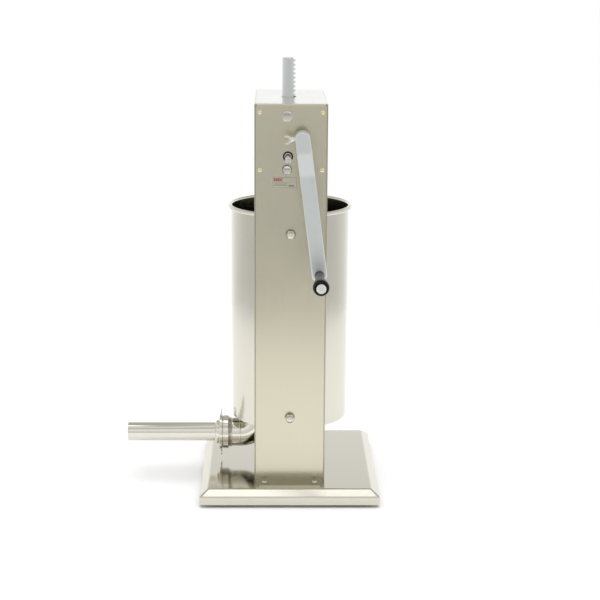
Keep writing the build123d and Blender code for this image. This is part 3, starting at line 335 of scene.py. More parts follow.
WING_STEEL = material("wing_steel", (0.84, 0.82, 0.76), 1.0, 0.10, (260, 260, 260), 0.05, 0.04, 0.04)
# painted highlight: a light, yellowish base colour stands for the highlight on the four front screw heads
FACE_SCREW_HIGHLIGHT = material("face_screw_painted_highlight", (0.86, 0.80, 0.50), 1.0, 0.22, (600, 600, 600), 0.08, 0.06, 0.06)
SMALL = material("small_fasteners", (0.66, 0.64, 0.56), 1.0, 0.20, (600, 600, 600), 0.08, 0.06, 0.06)
PLATED = material("plated_steel", (0.56, 0.58, 0.62), 1.0, 0.34, (220, 220, 220), 0.1, 0.08, 0.06)
BUSH_BLACK = material("bush_black", (0.008, 0.008, 0.007), 0.0, 0.55, (900, 900, 900), 0.1, 0.06, 0.2,
                      specular=0.2)
# painted shade: the washers' steel is darkened to stand for the shade around the nuts and the lower bolt
WASHER_PAINTED_SHADE = material("washer_painted_shade", (0.30, 0.28, 0.23), 1.0, 0.24, SPIN_GRAIN, 0.1, 0.06, 0.06)
BRONZE = material("bronze", (0.50, 0.34, 0.17), 1.0, 0.38, (900, 900, 900), 0.3, 0.1, 0.12)
NYLON = material("nylon", (0.80, 0.79, 0.74), 0.0, 0.45, (500, 500, 500), 0.1, 0.05, 0.02)
SHAFT_STEEL = material("shaft_steel", (0.76, 0.75, 0.72), 1.0, 0.16, SPIN_GRAIN, 0.08, 0.05, 0.04)
GEAR_STEEL = material("gear_steel", (0.34, 0.34, 0.35), 1.0, 0.36, (900, 60, 900), 0.2, 0.1, 0.1)
SPRING_STEEL = material("spring_steel", (0.30, 0.30, 0.31), 1.0, 0.32, (700, 700, 700), 0.1, 0.08, 0.08)
RACK_STEEL = material("rack_steel", (0.72, 0.735, 0.74), 1.0, 0.42, (60, 60, 1800), 0.10, 0.05, 0.03)
PISTON_METAL = material("piston_aluminium", (0.74, 0.74, 0.75), 1.0, 0.30, (60, 60, 2000), 0.1, 0.08, 0.05)
VALVE = material("valve_plastic", (0.80, 0.80, 0.77), 0.0, 0.40, (600, 600, 600), 0.05, 0.05, 0.02)
CRANK_STEEL = material("crank_steel", (0.70, 0.735, 0.72), 1.0, 0.38, (500, 500, 40), 0.03, 0.02, 0.008,
                       0.02, 0.02)
GRIP_BLACK = material("grip_black", (0.006, 0.006, 0.005), 0.0, 0.24, (700, 700, 700), 0.03, 0.04, 0.2,
                      specular=0.16)
AXLE_STEEL = material("axle_steel", (0.90, 0.90, 0.86), 1.0, 0.30, SPIN_GRAIN, 0.06, 0.04, 0.03)
RUBBER = material("rubber", (0.022, 0.022, 0.022), 0.0, 0.75, (900, 900, 900), 0.3, 0.08, 0.25)
LABEL_PLATE = material("label_plate", (0.56, 0.535, 0.43), 0.7, 0.38, (300, 900, 900), 0.05, 0.05, 0.03)
LABEL_RED = material("label_red", (0.33, 0.055, 0.05), 0.0, 0.45, (900, 900, 900), 0.05, 0.05, 0.10)
LABEL_GREY = material("label_grey", (0.20, 0.20, 0.18), 0.0, 0.50, (900, 900, 900), 0.05, 0.05, 0.10)

CAD_MATERIALS = {
    "rubber_feet": RUBBER, "feet_screws": SMALL, "base_nuts": SMALL, "head_floor": COLUMN_STEEL,
    "rear_cover": COLUMN_STEEL, "gear_frame": PLATED, "gear_frame_nuts": SMALL,
    "front_bearing_plate": PLATED, "bridge_plate": PLATED, "bridge_pillars": PLATED,
    "bridge_screws": SMALL, "front_bushes": BUSH_BLACK, "rear_bushes": BRONZE, "upper_rack_guide": NYLON,
    "lower_rack_guide": NYLON, "rack_guide_screws": SMALL, "upper_saddle": BRACKET_STEEL,
    "lower_bracket": BRACKET_STEEL, "bracket_bolts": SMALL, "fast_shaft": SHAFT_STEEL,
    "pinion": GEAR_STEEL, "main_gear": GEAR_STEEL, "fast_shaft_keys": SPRING_STEEL,
    "fast_shaft_rings": SPRING_STEEL, "slow_shaft": SHAFT_STEEL, "slow_gear": GEAR_STEEL,
    "slow_shaft_key": SPRING_STEEL, "slow_shaft_rings": SPRING_STEEL, "rack": RACK_STEEL,
    "piston_disc": PISTON_METAL, "piston_nut": SMALL, "piston_seal": RUBBER,
    "piston_clamp_disc": PISTON_METAL, "air_valve": VALVE, "air_valve_spring": SPRING_STEEL,
    "cylinder_floor": CYLINDER_STEEL, "outlet_elbow": CHROME, "nozzle_gasket": RUBBER,
    "grip_axle": AXLE_STEEL, "wing_screw": BRIGHT, "crank_hub": CRANK_STEEL, "crank_arm": CRANK_STEEL,
    "column": COLUMN_STEEL, "cover_screws": SMALL, "threaded_spout": CHROME, "ring_nut": CHROME,
    "column_foot_screws": SMALL, "bracket_washers": WASHER_PAINTED_SHADE, "lower_plate_washer": WASHER_PAINTED_SHADE,
}
for node, mat in CAD_MATERIALS.items():
    mesh = NODES[node].data
    mesh.materials.clear()
    mesh.materials.append(mat)

# the column has three more slots of painted light: the top of its head is a lighter copy of its steel
# (painted light from above), its front folds are darker (painted shade and reflection along the bends) and
# its foot flange is darker (painted reflection and shade)
# painted light: a lighter, more neutral copy of the column steel for the top face of the head
HEAD_TOP_PAINTED_LIGHT = material("head_top_painted_light", (0.72, 0.72, 0.70), 1.0, 0.20, AWAY_GRAIN, 0.04, 0.02, 0.012,
                          0.015, 0.01)
column_mesh = NODES["column"].data
column_mesh.materials.append(HEAD_TOP_PAINTED_LIGHT)
# painted shade and reflection: a darker copy of the column steel for the rounded front folds
FOLD_PAINTED_SHADE = material("fold_painted_shade", (0.40, 0.38, 0.29), 1.0, 0.34, UP_GRAIN, 0.10, 0.04, 0.03)
# painted reflection and shade: a darker copy of the column steel for the foot flange on the base
FOOT_PAINTED_SHADE = material("foot_painted_shade", (0.34, 0.32, 0.24), 1.0, 0.30, SIDE_GRAIN, 0.10, 0.04, 0.03)
column_mesh.materials.append(FOLD_PAINTED_SHADE)
column_mesh.materials.append(FOOT_PAINTED_SHADE)
HEAD_TOP_LIGHT_SLOT, FOLD_SHADE_SLOT, FOOT_SHADE_SLOT = 1, 2, 3
TURNED, SQUARE_ON = 0.05, 0.98
for face in column_mesh.polygons:
    # the turned front faces of the folds get the painted shade and reflection
    if TURNED < abs(face.normal.x) < SQUARE_ON and face.normal.y < -TURNED:
        face.material_index = FOLD_SHADE_SLOT
    # the upward faces just above the base get the painted reflection and shade
    if face.normal.z > SQUARE_ON and face.center.z < BASE[1].z + 5 * MM:
        face.material_index = FOOT_SHADE_SLOT
    # the top faces of the head get the painted light
    if face.normal.z > SQUARE_ON and face.center.z > HEAD_TOP - 0.1 * MM:
        face.material_index = HEAD_TOP_LIGHT_SLOT

# ------------------------------------------------------------------ base pan: one folded sheet
SHEET = 2 * MM
BASE_HALF = ((BASE[1].x - BASE[0].x) / 2, (BASE[1].y - BASE[0].y) / 2)
SKIRT_Z, BASE_TOP = BASE[0].z, BASE[1].z
BEVEL, BEVEL_H = 14 * MM, 10 * MM
BEND = 2.2 * MM
LIP = 34 * MM
PAN_CORNER, CROWN_CORNER, LIP_CORNER = 4 * MM, 3 * MM, 2 * MM
FLAT_NORMAL = 0.97
BEVEL_SLOT = 1


def pan_profile():
    """(inset, height) of the outer skin from the lip to the top, with rounded bends."""
    slope = (BEVEL, BEVEL_H)
    length = sqrt(slope[0] ** 2 + slope[1] ** 2)
    unit = (slope[0] / length, slope[1] / length)
    shoulder = (0.0, BASE_TOP - BEVEL_H)
    crown = (BEVEL, BASE_TOP)
    points = [(LIP, SKIRT_Z), (2.4 * MM, SKIRT_Z), (0.7 * MM, SKIRT_Z + 0.7 * MM), (0, SKIRT_Z + 2.4 * MM)]

    def bend(corner, before, after, radius, steps=5):
        made = []
        for step in range(steps + 1):
            t = step / steps
            a = (corner[0] - before[0] * radius * (1 - t), corner[1] - before[1] * radius * (1 - t))
            b = (corner[0] + after[0] * radius * t, corner[1] + after[1] * radius * t)
            made.append((a[0] * (1 - t) + b[0] * t, a[1] * (1 - t) + b[1] * t))
        return made

    points += bend(shoulder, (0, 1), unit, BEND)
    points += bend(crown, unit, (1, 0), BEND)
    return points


def make_base_pan():
    bm = bmesh.new()
    outer = pan_profile()
    wall, crown = outer[3:9], outer[10:]
    inner = [(LIP, SKIRT_Z + SHEET)] + [(x + SHEET, z + SHEET * 0.5) for x, z in wall]
    inner += [(x + SHEET * 0.6, z - SHEET) for x, z in crown]

    def ring(inset, height):
        radius = LIP_CORNER if inset > 2 * BEVEL else PAN_CORNER + (CROWN_CORNER - PAN_CORNER) * inset / BEVEL
        outline = rounded_rectangle(BASE_HALF[0] - inset, BASE_HALF[1] - inset, max(radius, 1 * MM), 6)
        return [bm.verts.new((x, y, height)) for x, y in outline]

    rings = [ring(*point) for point in inner[::-1]] + [ring(*point) for point in outer]
    for a, b in zip(rings, rings[1:]):
        for step in range(len(a)):
            after = (step + 1) % len(a)
            bm.faces.new((a[step], b[step], b[after], a[after]))
    bm.faces.new(rings[0])
    bm.faces.new(rings[-1])
    bmesh.ops.recalc_face_normals(bm, faces=bm.faces)
    pan = new_object("base_pan_pressed", bm, BASE_STEEL, "frame", ("base_pan",))
    pan.data.materials.append(BEVEL_STEEL)
    for face in pan.data.polygons:
        if face.normal.z < FLAT_NORMAL:
            face.material_index = BEVEL_SLOT
    normals = pan.modifiers.new("normals", "WEIGHTED_NORMAL")
    normals.keep_sharp = True
    normals.weight = 80
    return pan


make_base_pan()

# ------------------------------------------------------------------ cylinder with its rolled rim
CYL_R = 99 * MM
CYL_IN = 97.5 * MM
RIM_R = 3.4 * MM
RIM_Z = SHELL[1].z - RIM_R
rim = arc(CYL_IN + RIM_R, RIM_Z, RIM_R, 180, -105, 22)
shell_profile = [(CYL_IN, SHELL[0].z), (CYL_IN, RIM_Z - 20 * MM)] + rim
shell_profile += [(CYL_R, RIM_Z - RIM_R - 0.4 * MM), (CYL_R, SHELL[0].z)]
shell = new_object("cylinder_tube", lathe(shell_profile, (0, 0, 0), (0, 0, 1), 220), CYLINDER_STEEL,
                   "cylinder", ("cylinder_shell",))
shell.data.set_sharp_from_angle(angle=radians(40))
# painted shade: a darker copy of the cylinder steel for the inside of the tube below its rim
CYLINDER_INSIDE_SHADE = material("cylinder_inside_painted_shade", (0.30, 0.28, 0.22), 1.0, 0.22, (700, 700, 5), 0.1, 0.04, 0.03)
shell.data.materials.append(CYLINDER_INSIDE_SHADE)
INSIDE_SHADE_SLOT = 1
# the inner faces below the rim get the painted shade
for face in shell.data.polygons:
    outward = Vector((face.center.x, face.center.y, 0))
    if face.normal.dot(outward) < 0 and outward.length < CYL_IN + 0.2 * MM and face.center.z < RIM_Z:
        face.material_index = INSIDE_SHADE_SLOT

# ------------------------------------------------------------------ nozzle
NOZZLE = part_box("nozzle")
TUBE_R = 16.5 * MM
COLLAR_R = 20.6 * MM
FLANGE_R = (NOZZLE[1].z - NOZZLE[0].z) / 2
tip, back = NOZZLE[0].x, NOZZLE[1].x
WALL, COLLAR_WALL, FLANGE_T = 1.2 * MM, 1.5 * MM, 2.4 * MM
nozzle_profile = [
    (TUBE_R - WALL, tip), (TUBE_R - 0.4 * MM, tip), (TUBE_R, tip + 0.4 * MM), (TUBE_R, -129.5 * MM),
    (TUBE_R + 0.5 * MM, -128.4 * MM), (COLLAR_R - 0.5 * MM, -126.6 * MM), (COLLAR_R, -125.6 * MM),
    (COLLAR_R, back - FLANGE_T), (FLANGE_R - 0.3 * MM, back - FLANGE_T),
    (FLANGE_R, back - FLANGE_T + 0.3 * MM), (FLANGE_R, back), (COLLAR_R - COLLAR_WALL, back),
    (COLLAR_R - COLLAR_WALL, -125 * MM), (TUBE_R - WALL, -127.5 * MM),
]
nozzle = new_object("nozzle_tube", lathe(nozzle_profile, (0, 0, OUTLET_Z), (1, 0, 0), 128), CHROME,
                    "nozzle", ("nozzle",))
nozzle.data.set_sharp_from_angle(angle=radians(35))


# ------------------------------------------------------------------ bolts, nuts and screws
def hex_piece(bm, place, direction, across_flats, height, dish=0.0):
    """A hexagonal head or nut: drawn in where it meets the sheet, its corners turned off at the front."""
    flat_r = across_flats / 2
    corner_r = flat_r / cos(pi / 6)
    seat_r, face_r, dish_r = flat_r * 0.86, flat_r * 0.96, flat_r * 0.80
    undercut = 0.7 * MM
    cone = tan(radians(30))
    levels = [(seat_r, 0.0), (corner_r, undercut), (corner_r, height - (corner_r - face_r) * cone)]
    steps = 6
    for step in range(1, steps + 1):
        limit = corner_r + (face_r - corner_r) * step / steps
        levels.append((limit, height - (limit - face_r) * cone))
    origin, direction = Vector(place), Vector(direction).normalized()
    across, up = axes_of(direction)
    turns = 96
    angles = [2 * pi * step / turns for step in range(turns)]
    rings = []
    for limit, distance in levels:
        middle = origin + direction * distance
        ring = []
        for angle in angles:
            radius = min(hexagon(across_flats, angle + pi / 6), limit)
            ring.append(bm.verts.new(on_circle(middle, across, up, radius, angle)))
        rings.append(ring)
    dished = origin + direction * (height - dish)
    rings.append([bm.verts.new(on_circle(dished, across, up, dish_r, angle)) for angle in angles])
    for a, b in zip(rings, rings[1:]):
        for step in range(turns):
            after = (step + 1) % turns
            bm.faces.new((a[step], b[step], b[after], a[after]))
    bm.faces.new(rings[0][::-1])
    bm.faces.new(rings[-1])
    return bm


OUT = (0, -1, 0)


def add_piece(bm, name, mat, body, replaced=(), sharp=35):
    bmesh.ops.recalc_face_normals(bm, faces=bm.faces)
    obj = new_object(name, bm, mat, body, replaced)
    obj.data.set_sharp_from_angle(angle=radians(sharp))
    return obj


def add_shank(bm, spot, direction, radius, length, turns=32):
    """The plain stem of a screw, from just inside its head down into the sheet."""
    start = 0.1 * MM
    lathe([(0, start), (radius, start), (radius, -length), (0, -length)], spot, direction, turns, bm)


def plate_bolt(node, head_height, across_flats, shank_r):
    low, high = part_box(node)
    spot = Vector(((low.x + high.x) / 2, low.y + head_height, (low.z + high.z) / 2))
    bm = hex_piece(bmesh.new(), spot, OUT, across_flats, head_height, dish=0.5 * MM)
    add_shank(bm, spot, OUT, shank_r, high.y - spot.y, 48)
    add_piece(bm, node + "_hex", BRIGHT, "frame", (node,))


plate_bolt("upper_plate_bolt", 6.4 * MM, 16 * MM, 5 * MM)
plate_bolt("lower_plate_bolt", 5.3 * MM, 13 * MM, 4 * MM)

# acorn nuts: hexagon, collar and dome
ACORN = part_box("acorn_nuts")
ACORN_FLATS = 13 * MM
DOME_R, DOME_START = 6.2 * MM, 10 * MM
dome = [(0, 5 * MM), (6.0 * MM, 5 * MM), (DOME_R, 7.2 * MM), (DOME_R, DOME_START)]
for angle in range(10, 90, 10):
    dome.append((DOME_R * cos(radians(angle)), DOME_START + DOME_R * sin(radians(angle))))
dome.append((0, DOME_START + DOME_R))
bm = bmesh.new()
for z in (ACORN[0].z + ACORN_FLATS / 2, ACORN[1].z - ACORN_FLATS / 2):
    spot = Vector((0, ACORN[1].y, z))
    hex_piece(bm, spot, OUT, ACORN_FLATS, 7 * MM)
    lathe(dome, spot, OUT, 64, bm)
add_piece(bm, "domed_nuts", CHROME, "frame", ("acorn_nuts",))


SOCKET_DEPTH = 1.3 * MM
RIM_SHARE = 0.12


def round_head(bm, place, direction, radius, height, socket=0.0):
    """A low domed screw head, with a hexagonal socket where one is given."""
    floor_at = height - SOCKET_DEPTH
    curve = [(0, floor_at), (socket, floor_at), (socket, height)] if socket else [(0, height)]
    for angle in range(60 if socket else 75, -1, -12):
        rise = RIM_SHARE + (1 - RIM_SHARE) * sin(radians(angle))
        curve.append((radius * cos(radians(angle)), height * rise))
    curve += [(radius * 0.93, 0.0), (0, 0.0)]

    def cut_hexagon(r, angle):
        return min(r, hexagon(socket * 1.8, angle)) if r <= socket else r

    lathe(curve, place, direction, 48, bm, radius_at=cut_hexagon if socket else None)


def slot_cutter(spots, turn, radius, height):
    """One straight slot across each of a set of pan heads that face the front."""
    cut = bmesh.new()
    half = Vector((cos(turn), 0, sin(turn))) * radius * 0.50
    across = Vector((-sin(turn), 0, cos(turn))) * radius * 0.13
    for spot in spots:
        low = Vector(spot) + Vector(OUT) * (height * 0.45)
        high = Vector(spot) + Vector(OUT) * (height * 1.3)
        corners = []
        for end in (low, high):
            for a in (-1, 1):
                for b in (-1, 1):
                    corners.append(cut.verts.new(end + a * half + b * across))
        for face in BOX_FACES:
            cut.faces.new([corners[i] for i in face])
    bmesh.ops.recalc_face_normals(cut, faces=cut.faces)
    return cut


FRAME_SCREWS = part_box("gear_frame_screws")
screw_r, screw_height = 3.7 * MM, 2.4 * MM
face_spots = [(x, FACE_Y, z) for x in (FRAME_SCREWS[0].x + screw_r, FRAME_SCREWS[1].x - screw_r)
              for z in (FRAME_SCREWS[0].z + screw_r, FRAME_SCREWS[1].z - screw_r)]
bm = bmesh.new()
for spot in face_spots:
    round_head(bm, spot, OUT, screw_r, screw_height)
slots = [slot_cutter(face_spots, radians(turn), screw_r, screw_height) for turn in (20, 110)]
heads = baked(bm, [("BOOLEAN", {"cutter": cutter}) for cutter in slots])
screws_bm = bmesh.new()
screws_bm.from_mesh(heads)
for spot in face_spots:
    add_shank(screws_bm, spot, OUT, 2 * MM, FRAME_SCREWS[1].y - FACE_Y)
heads_obj = new_object("face_screws", screws_bm, FACE_SCREW_HIGHLIGHT, "frame",
                       ("gear_frame_screws",))
heads_obj.data.set_sharp_from_angle(angle=radians(35))

# ------------------------------------------------------------------ grip
grip_low, grip_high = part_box("grip")
near, far = grip_low.y, grip_high.y
span = far - near


def grip_points():
    """Outline of the moulded grip from the crank arm to its near end."""
    shape = [(4.1, 0), (7.4, 0), (7.8, 0.8), (7.8, 2.0), (7.2, 4.5), (6.75, 9), (6.65, 14), (6.85, 20),
             (7.4, 28), (8.3, 38), (9.4, 48), (10.6, 58), (11.8, 68), (12.6, 75), (12.95, 80), (12.9, 84),
             (12.4, 87), (11.4, 89), (10.0, 89.9), (8.4, 90), (8.2, 89.6), (4.1, 89.6)]
    drawn_length = 90
    return [(r * MM, d / drawn_length * span) for r, d in shape]


grip_start = Vector((GRIP.x, far, GRIP.z))
grip = new_object("grip_moulded", lathe(grip_points(), grip_start, OUT, 96), GRIP_BLACK, "grip",
                  ("grip",))
grip.data.set_sharp_from_angle(angle=radians(50))

# ------------------------------------------------------------------ crank: arm, hub and wing screw
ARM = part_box("crank_arm")
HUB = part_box("crank_hub")
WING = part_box("wing_screw")
HUB_R = (HUB[1].x - HUB[0].x) / 2
ARM_T = 5 * MM
ARM_JOG = ARM[1].y - ARM[0].y - ARM_T
ARM_INNER = ARM[1].y
ALONG = Vector((GRIP.x - FAST.x, 0, GRIP.z - FAST.z))
CRANK_R = ALONG.length
ALONG.normalize()
ACROSS = Vector((ALONG.z, 0, -ALONG.x))
JOG_ENDS = (23 * MM, 56 * MM)
JOG_SOFT = 4 * MM


def jog(distance):
    """How far the arm has stepped out from the column at a distance below the crank shaft."""
    def soft(past):
        if past < -JOG_SOFT:
            return 0.0
        return past if past > JOG_SOFT else (past + JOG_SOFT) ** 2 / (4 * JOG_SOFT)
    start, end = JOG_ENDS
    return ARM_JOG * (soft(distance - start) - soft(distance - end)) / (end - start)


def arm_half(inset):
    """One side of the arm's outline from its top pole to its bottom pole, as (across, along)."""
    radius = HUB_R - inset
    side = [(radius * sin(radians(a)), -radius * cos(radians(a))) for a in range(0, 91, 6)]
    straight = 110
    side += [(radius, CRANK_R * step / straight) for step in range(1, straight)]
    side += [(radius * cos(radians(a)), CRANK_R + radius * sin(radians(a))) for a in range(0, 91, 6)]
    return side


def make_arm():
    bm = bmesh.new()
    edge = 2.1 * MM
    steps = 5
    turns = [radians(90 * step / steps) for step in range(steps + 1)]
    levels = [(edge * (1 - sin(turn)), edge * (1 - cos(turn))) for turn in turns]
    levels += [(inset, ARM_T - depth) for inset, depth in levels[::-1]]
    rings = []
    for inset, depth in levels:
        half = arm_half(inset)
        loop = half + [(-a, b) for a, b in half[-2:0:-1]]
        ring = []
        for a, b in loop:
            spot = Vector((FAST.x, ARM_INNER, FAST.z)) + ACROSS * a + ALONG * b
            spot.y -= jog(b) + depth
            ring.append(bm.verts.new(spot))
        rings.append(ring)
    count = len(rings[0])
    for a, b in zip(rings, rings[1:]):
        for step in range(count):
            after = (step + 1) % count
            bm.faces.new((a[step], a[after], b[after], b[step]))
    last = count // 2
    for ring in (rings[0], rings[-1]):
        for step in range(last):
            corners = (ring[step], ring[step + 1], ring[-step - 1], ring[-step % count])
            bm.faces.new(list(dict.fromkeys(corners)))
    bmesh.ops.recalc_face_normals(bm, faces=bm.faces)
    arm = new_object("crank_arm_bar", bm, CRANK_STEEL, "crank", ("crank_arm",))
    arm.modifiers.new("normals", "WEIGHTED_NORMAL").weight = 90
    return arm


make_arm()

BORE_R = 5.06 * MM
HUB_LENGTH = HUB[1].y - HUB[0].y
hub_profile = [(BORE_R, 0), (HUB_R - 1.4 * MM, 0), (HUB_R - 0.4 * MM, 0.5 * MM), (HUB_R, 1.5 * MM)]
hub_profile += [(HUB_R, HUB_LENGTH - 1.6 * MM), (HUB_R - 0.4 * MM, HUB_LENGTH - 0.5 * MM)]
hub_profile += [(HUB_R - 1.4 * MM, HUB_LENGTH), (BORE_R + 0.5 * MM, HUB_LENGTH),
                (BORE_R, HUB_LENGTH - 0.5 * MM)]
hub = new_object("crank_boss", lathe(hub_profile, (FAST.x, HUB[0].y, FAST.z), (0, 1, 0), 96), CRANK_STEEL,
                 "crank", ("crank_hub",))
hub.data.set_sharp_from_angle(angle=radians(50))

WING_OUTLINE = ((0.5, 0), (0.8, 3.5), (4.0, 4.3), (7.4, 6.3), (10.6, 7.25), (13.3, 7.1), (14.6, 5.9),
                (13.9, 4.6), (11.4, 4.5), (9.0, 3.1), (7.3, 1.2), (6.6, 0))


def make_wing_screw():
    """A thumb screw that clamps the hub: stem, collar and two flared wings."""
    bm = bmesh.new()
    axis = -ACROSS if ACROSS.x > 0 else ACROSS
    middle = Vector((FAST.x, (WING[0].y + WING[1].y) / 2, FAST.z))
    stem = [(0, 5.4), (2.6, 5.4), (3.0, 6.0), (3.0, 13.6), (3.9, 13.8), (4.2, 14.3), (4.2, 18.2),
            (3.6, 19.0), (0, 19.6)]
    lathe([(r * MM, d * MM) for r, d in stem], middle, axis, 48, bm)
    half_t = 1.6 * MM
    upward = axis.cross(Vector((0, 1, 0)))
    base = middle + axis * (14 * MM)
    for side in (1, -1):
        outline = [(a * MM, side * b * MM) for a, b in WING_OUTLINE]
        start = base - axis.cross(upward).normalized() * half_t
        prism(outline, start, axis, upward, 2 * half_t, bm)
    screw = new_object("wing_screw_cast", bm, WING_STEEL, "wing_screw", ("wing_screw",))
    soft_edges(screw, 0.6 * MM, 3, 40)


make_wing_screw()


# ------------------------------------------------------------------ shaft ends with their centre holes
def make_shaft(node, body, axis_at):
    low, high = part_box(node)
    length = high.y - low.y
    journal = (high.x - low.x) / 2
    stub = 5 * MM
    step_at = FACE_Y - 0.2 * MM - low.y
    profile = [(0, 3.0 * MM), (1.0 * MM, 2.4 * MM), (1.0 * MM, 0.8 * MM), (1.9 * MM, 0),
               (stub - 0.6 * MM, 0)]
    profile += [(stub, 0.6 * MM), (stub, step_at), (journal - 0.3 * MM, step_at),
                (journal, step_at + 0.3 * MM)]
    profile += [(journal, length - 0.8 * MM), (journal - 0.8 * MM, length), (0, length)]
    bar = new_object(node + "_turned", lathe(profile, (axis_at.x, low.y, axis_at.z), (0, 1, 0), 72),
                     SHAFT_STEEL, body, (node,))
    bar.data.set_sharp_from_angle(angle=radians(30))


make_shaft("fast_shaft", "fast_shaft", FAST)
make_shaft("slow_shaft", "slow_shaft", SLOW)

# -------------------------------------------------- outlet: elbow, threaded spout and ring nut
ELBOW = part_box("outlet_elbow")
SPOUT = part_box("threaded_spout")
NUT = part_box("ring_nut")
PIPE_R = OUTLET_Z - ELBOW[0].z
PIPE_WALL = 2 * MM
BEND_R = ELBOW[1].z - OUTLET_Z


def make_elbow():
    """A quarter bend of pipe, hollow, with square ends."""
    bm = bmesh.new()
    centre_x, centre_z = ELBOW[0].x, ELBOW[1].z
    steps, turns = 48, 112
    walls = []
    for radius in (PIPE_R, PIPE_R - PIPE_WALL):
        rings = []
        for step in range(steps + 1):
            turn = radians(90 * step / steps)
            outward = Vector((sin(turn), 0, -cos(turn)))
            ring = []
            for spoke in range(turns):
                angle = 2 * pi * spoke / turns
                reach = BEND_R + radius * cos(angle)
                start = Vector((centre_x, radius * sin(angle), centre_z))
                ring.append(bm.verts.new(start + outward * reach))
            rings.append(ring)
        walls.append(rings)
    outer, inner = walls
    for rings in walls:
        for a, b in zip(rings, rings[1:]):
            for spoke in range(turns):
                after = (spoke + 1) % turns
                bm.faces.new((a[spoke], a[after], b[after], b[spoke]))
    for end in (0, -1):
        for spoke in range(turns):
            after = (spoke + 1) % turns
            bm.faces.new((outer[end][spoke], outer[end][after], inner[end][after], inner[end][spoke]))
    add_piece(bm, "elbow_bend", CHROME, "cylinder", ("outlet_elbow",), 50)


make_elbow()

SPOUT_R = (SPOUT[1].z - SPOUT[0].z) / 2
SPOUT_LENGTH = SPOUT[1].x - SPOUT[0].x
THREAD_END = 14.5 * MM
THREAD_PITCH = 2 * MM
THREAD_DEPTH = 0.9 * MM
spout_profile = [(PIPE_R - PIPE_WALL, 0), (SPOUT_R - THREAD_DEPTH, 0)]
for turn in range(int(THREAD_END / THREAD_PITCH)):
    at = turn * THREAD_PITCH
    spout_profile += [(SPOUT_R - THREAD_DEPTH, at + 0.3 * MM), (SPOUT_R, at + 1.1 * MM),
                      (SPOUT_R, at + 1.4 * MM)]
spout_profile += [(SPOUT_R - THREAD_DEPTH, THREAD_END), (PIPE_R, THREAD_END + 0.3 * MM)]
weld = []
for angle in range(0, 181, 30):
    across = PIPE_R + 0.5 * MM * sin(radians(angle))
    weld.append((across, SPOUT_LENGTH - 1.2 * MM - 1.2 * MM * cos(radians(angle))))
spout_profile += weld + [(PIPE_R, SPOUT_LENGTH), (PIPE_R - PIPE_WALL, SPOUT_LENGTH)]
spout = new_object("spout_turned", lathe(spout_profile, (SPOUT[0].x, 0, OUTLET_Z), (1, 0, 0), 112), CHROME,
                   "cylinder", ("threaded_spout",))
spout.data.set_sharp_from_angle(angle=radians(50))

NUT_PROFILE = ((21.1, 0.3), (21.4, 0.0), (29.9, 0.0), (30.4, 0.2), (30.6, 0.7), (30.6, 4.3), (30.3, 4.8),
               (29.4, 5.0), (28.6, 5.3), (28.6, 6.0), (29.1, 6.4), (29.3, 7.0), (29.3, 15.2), (29.0, 15.8),
               (28.4, 16.0), (27.4, 16.0), (26.9, 15.5), (26.9, 2.7), (21.1, 2.7))


def make_ring_nut():
    """The union nut: front flange, groove, plain body and two thin ears to turn it by."""
    bm = lathe([(r * MM, d * MM) for r, d in NUT_PROFILE], (NUT[0].x, 0, OUTLET_Z), (1, 0, 0), 128)
    ear_r = (NUT[1].z - NUT[0].z) / 2
    ear_low, ear_high = 1.8 * MM, 4.4 * MM
    root, neck, neck_end = 29.5 * MM, 4.5 * MM, ear_r - 7.5 * MM
    tip_x, tip_r = 6 * MM, 4 * MM
    for side in (-1, 1):
        outline = [(-neck, root), (neck, root), (neck, neck_end)]
        outline += arc(tip_x, ear_r - tip_r, tip_r, -90, 90, 10)
        outline += arc(-tip_x, ear_r - tip_r, tip_r, 90, 270, 10)
        outline.append((-neck, neck_end))
        start = (NUT[0].x + ear_low, 0, OUTLET_Z)
        prism(outline, start, (0, 1, 0), (0, 0, side), side * (ear_high - ear_low), bm)
    bmesh.ops.recalc_face_normals(bm, faces=bm.faces)
    nut = new_object("union_nut", bm, CHROME, "ring_nut", ("ring_nut",))
    nut.data.set_sharp_from_angle(angle=radians(35))
    soft_edges(nut, 0.3 * MM, 2, 60)


make_ring_nut()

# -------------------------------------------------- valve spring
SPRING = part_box("air_valve_spring")
SPRING_TURNS = 3
SPRING_WIRE = 0.5 * MM


def make_valve_spring():
    bm = bmesh.new()
    middle = centre("air_valve_spring")
    coil_r = (SPRING[1].x - SPRING[0].x) / 2 - SPRING_WIRE
    low, high = SPRING[0].z + SPRING_WIRE, SPRING[1].z - SPRING_WIRE
    steps, turns = 180, 12
    rings = []
    for step in range(steps + 1):
        angle = 2 * pi * SPRING_TURNS * step / steps
        outward = Vector((cos(angle), sin(angle), 0))
        spot = Vector((middle.x, middle.y, low + (high - low) * step / steps)) + outward * coil_r
        rise = (high - low) / (2 * pi * SPRING_TURNS)
        along = Vector((-sin(angle) * coil_r, cos(angle) * coil_r, rise)).normalized()
        aside = along.cross(outward)
        ring = []
        for spoke in range(turns):
            b = 2 * pi * spoke / turns
            ring.append(bm.verts.new(on_circle(spot, outward, aside, SPRING_WIRE, b)))
        rings.append(ring)
    for a, b in zip(rings, rings[1:]):
        for spoke in range(turns):
            after = (spoke + 1) % turns
            bm.faces.new((a[spoke], a[after], b[after], b[spoke]))
    bm.faces.new(rings[0])
    bm.faces.new(rings[-1])
    coil = add_piece(bm, "valve_spring_coil", SPRING_STEEL, "piston",
                     ("air_valve_spring",), 50)
    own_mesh(coil)


make_valve_spring()

# ------------------------------------------------------------------ warning plate, with no text
PLATE_W = LABEL[1].x - LABEL[0].x
PLATE_H = LABEL[1].z - LABEL[0].z


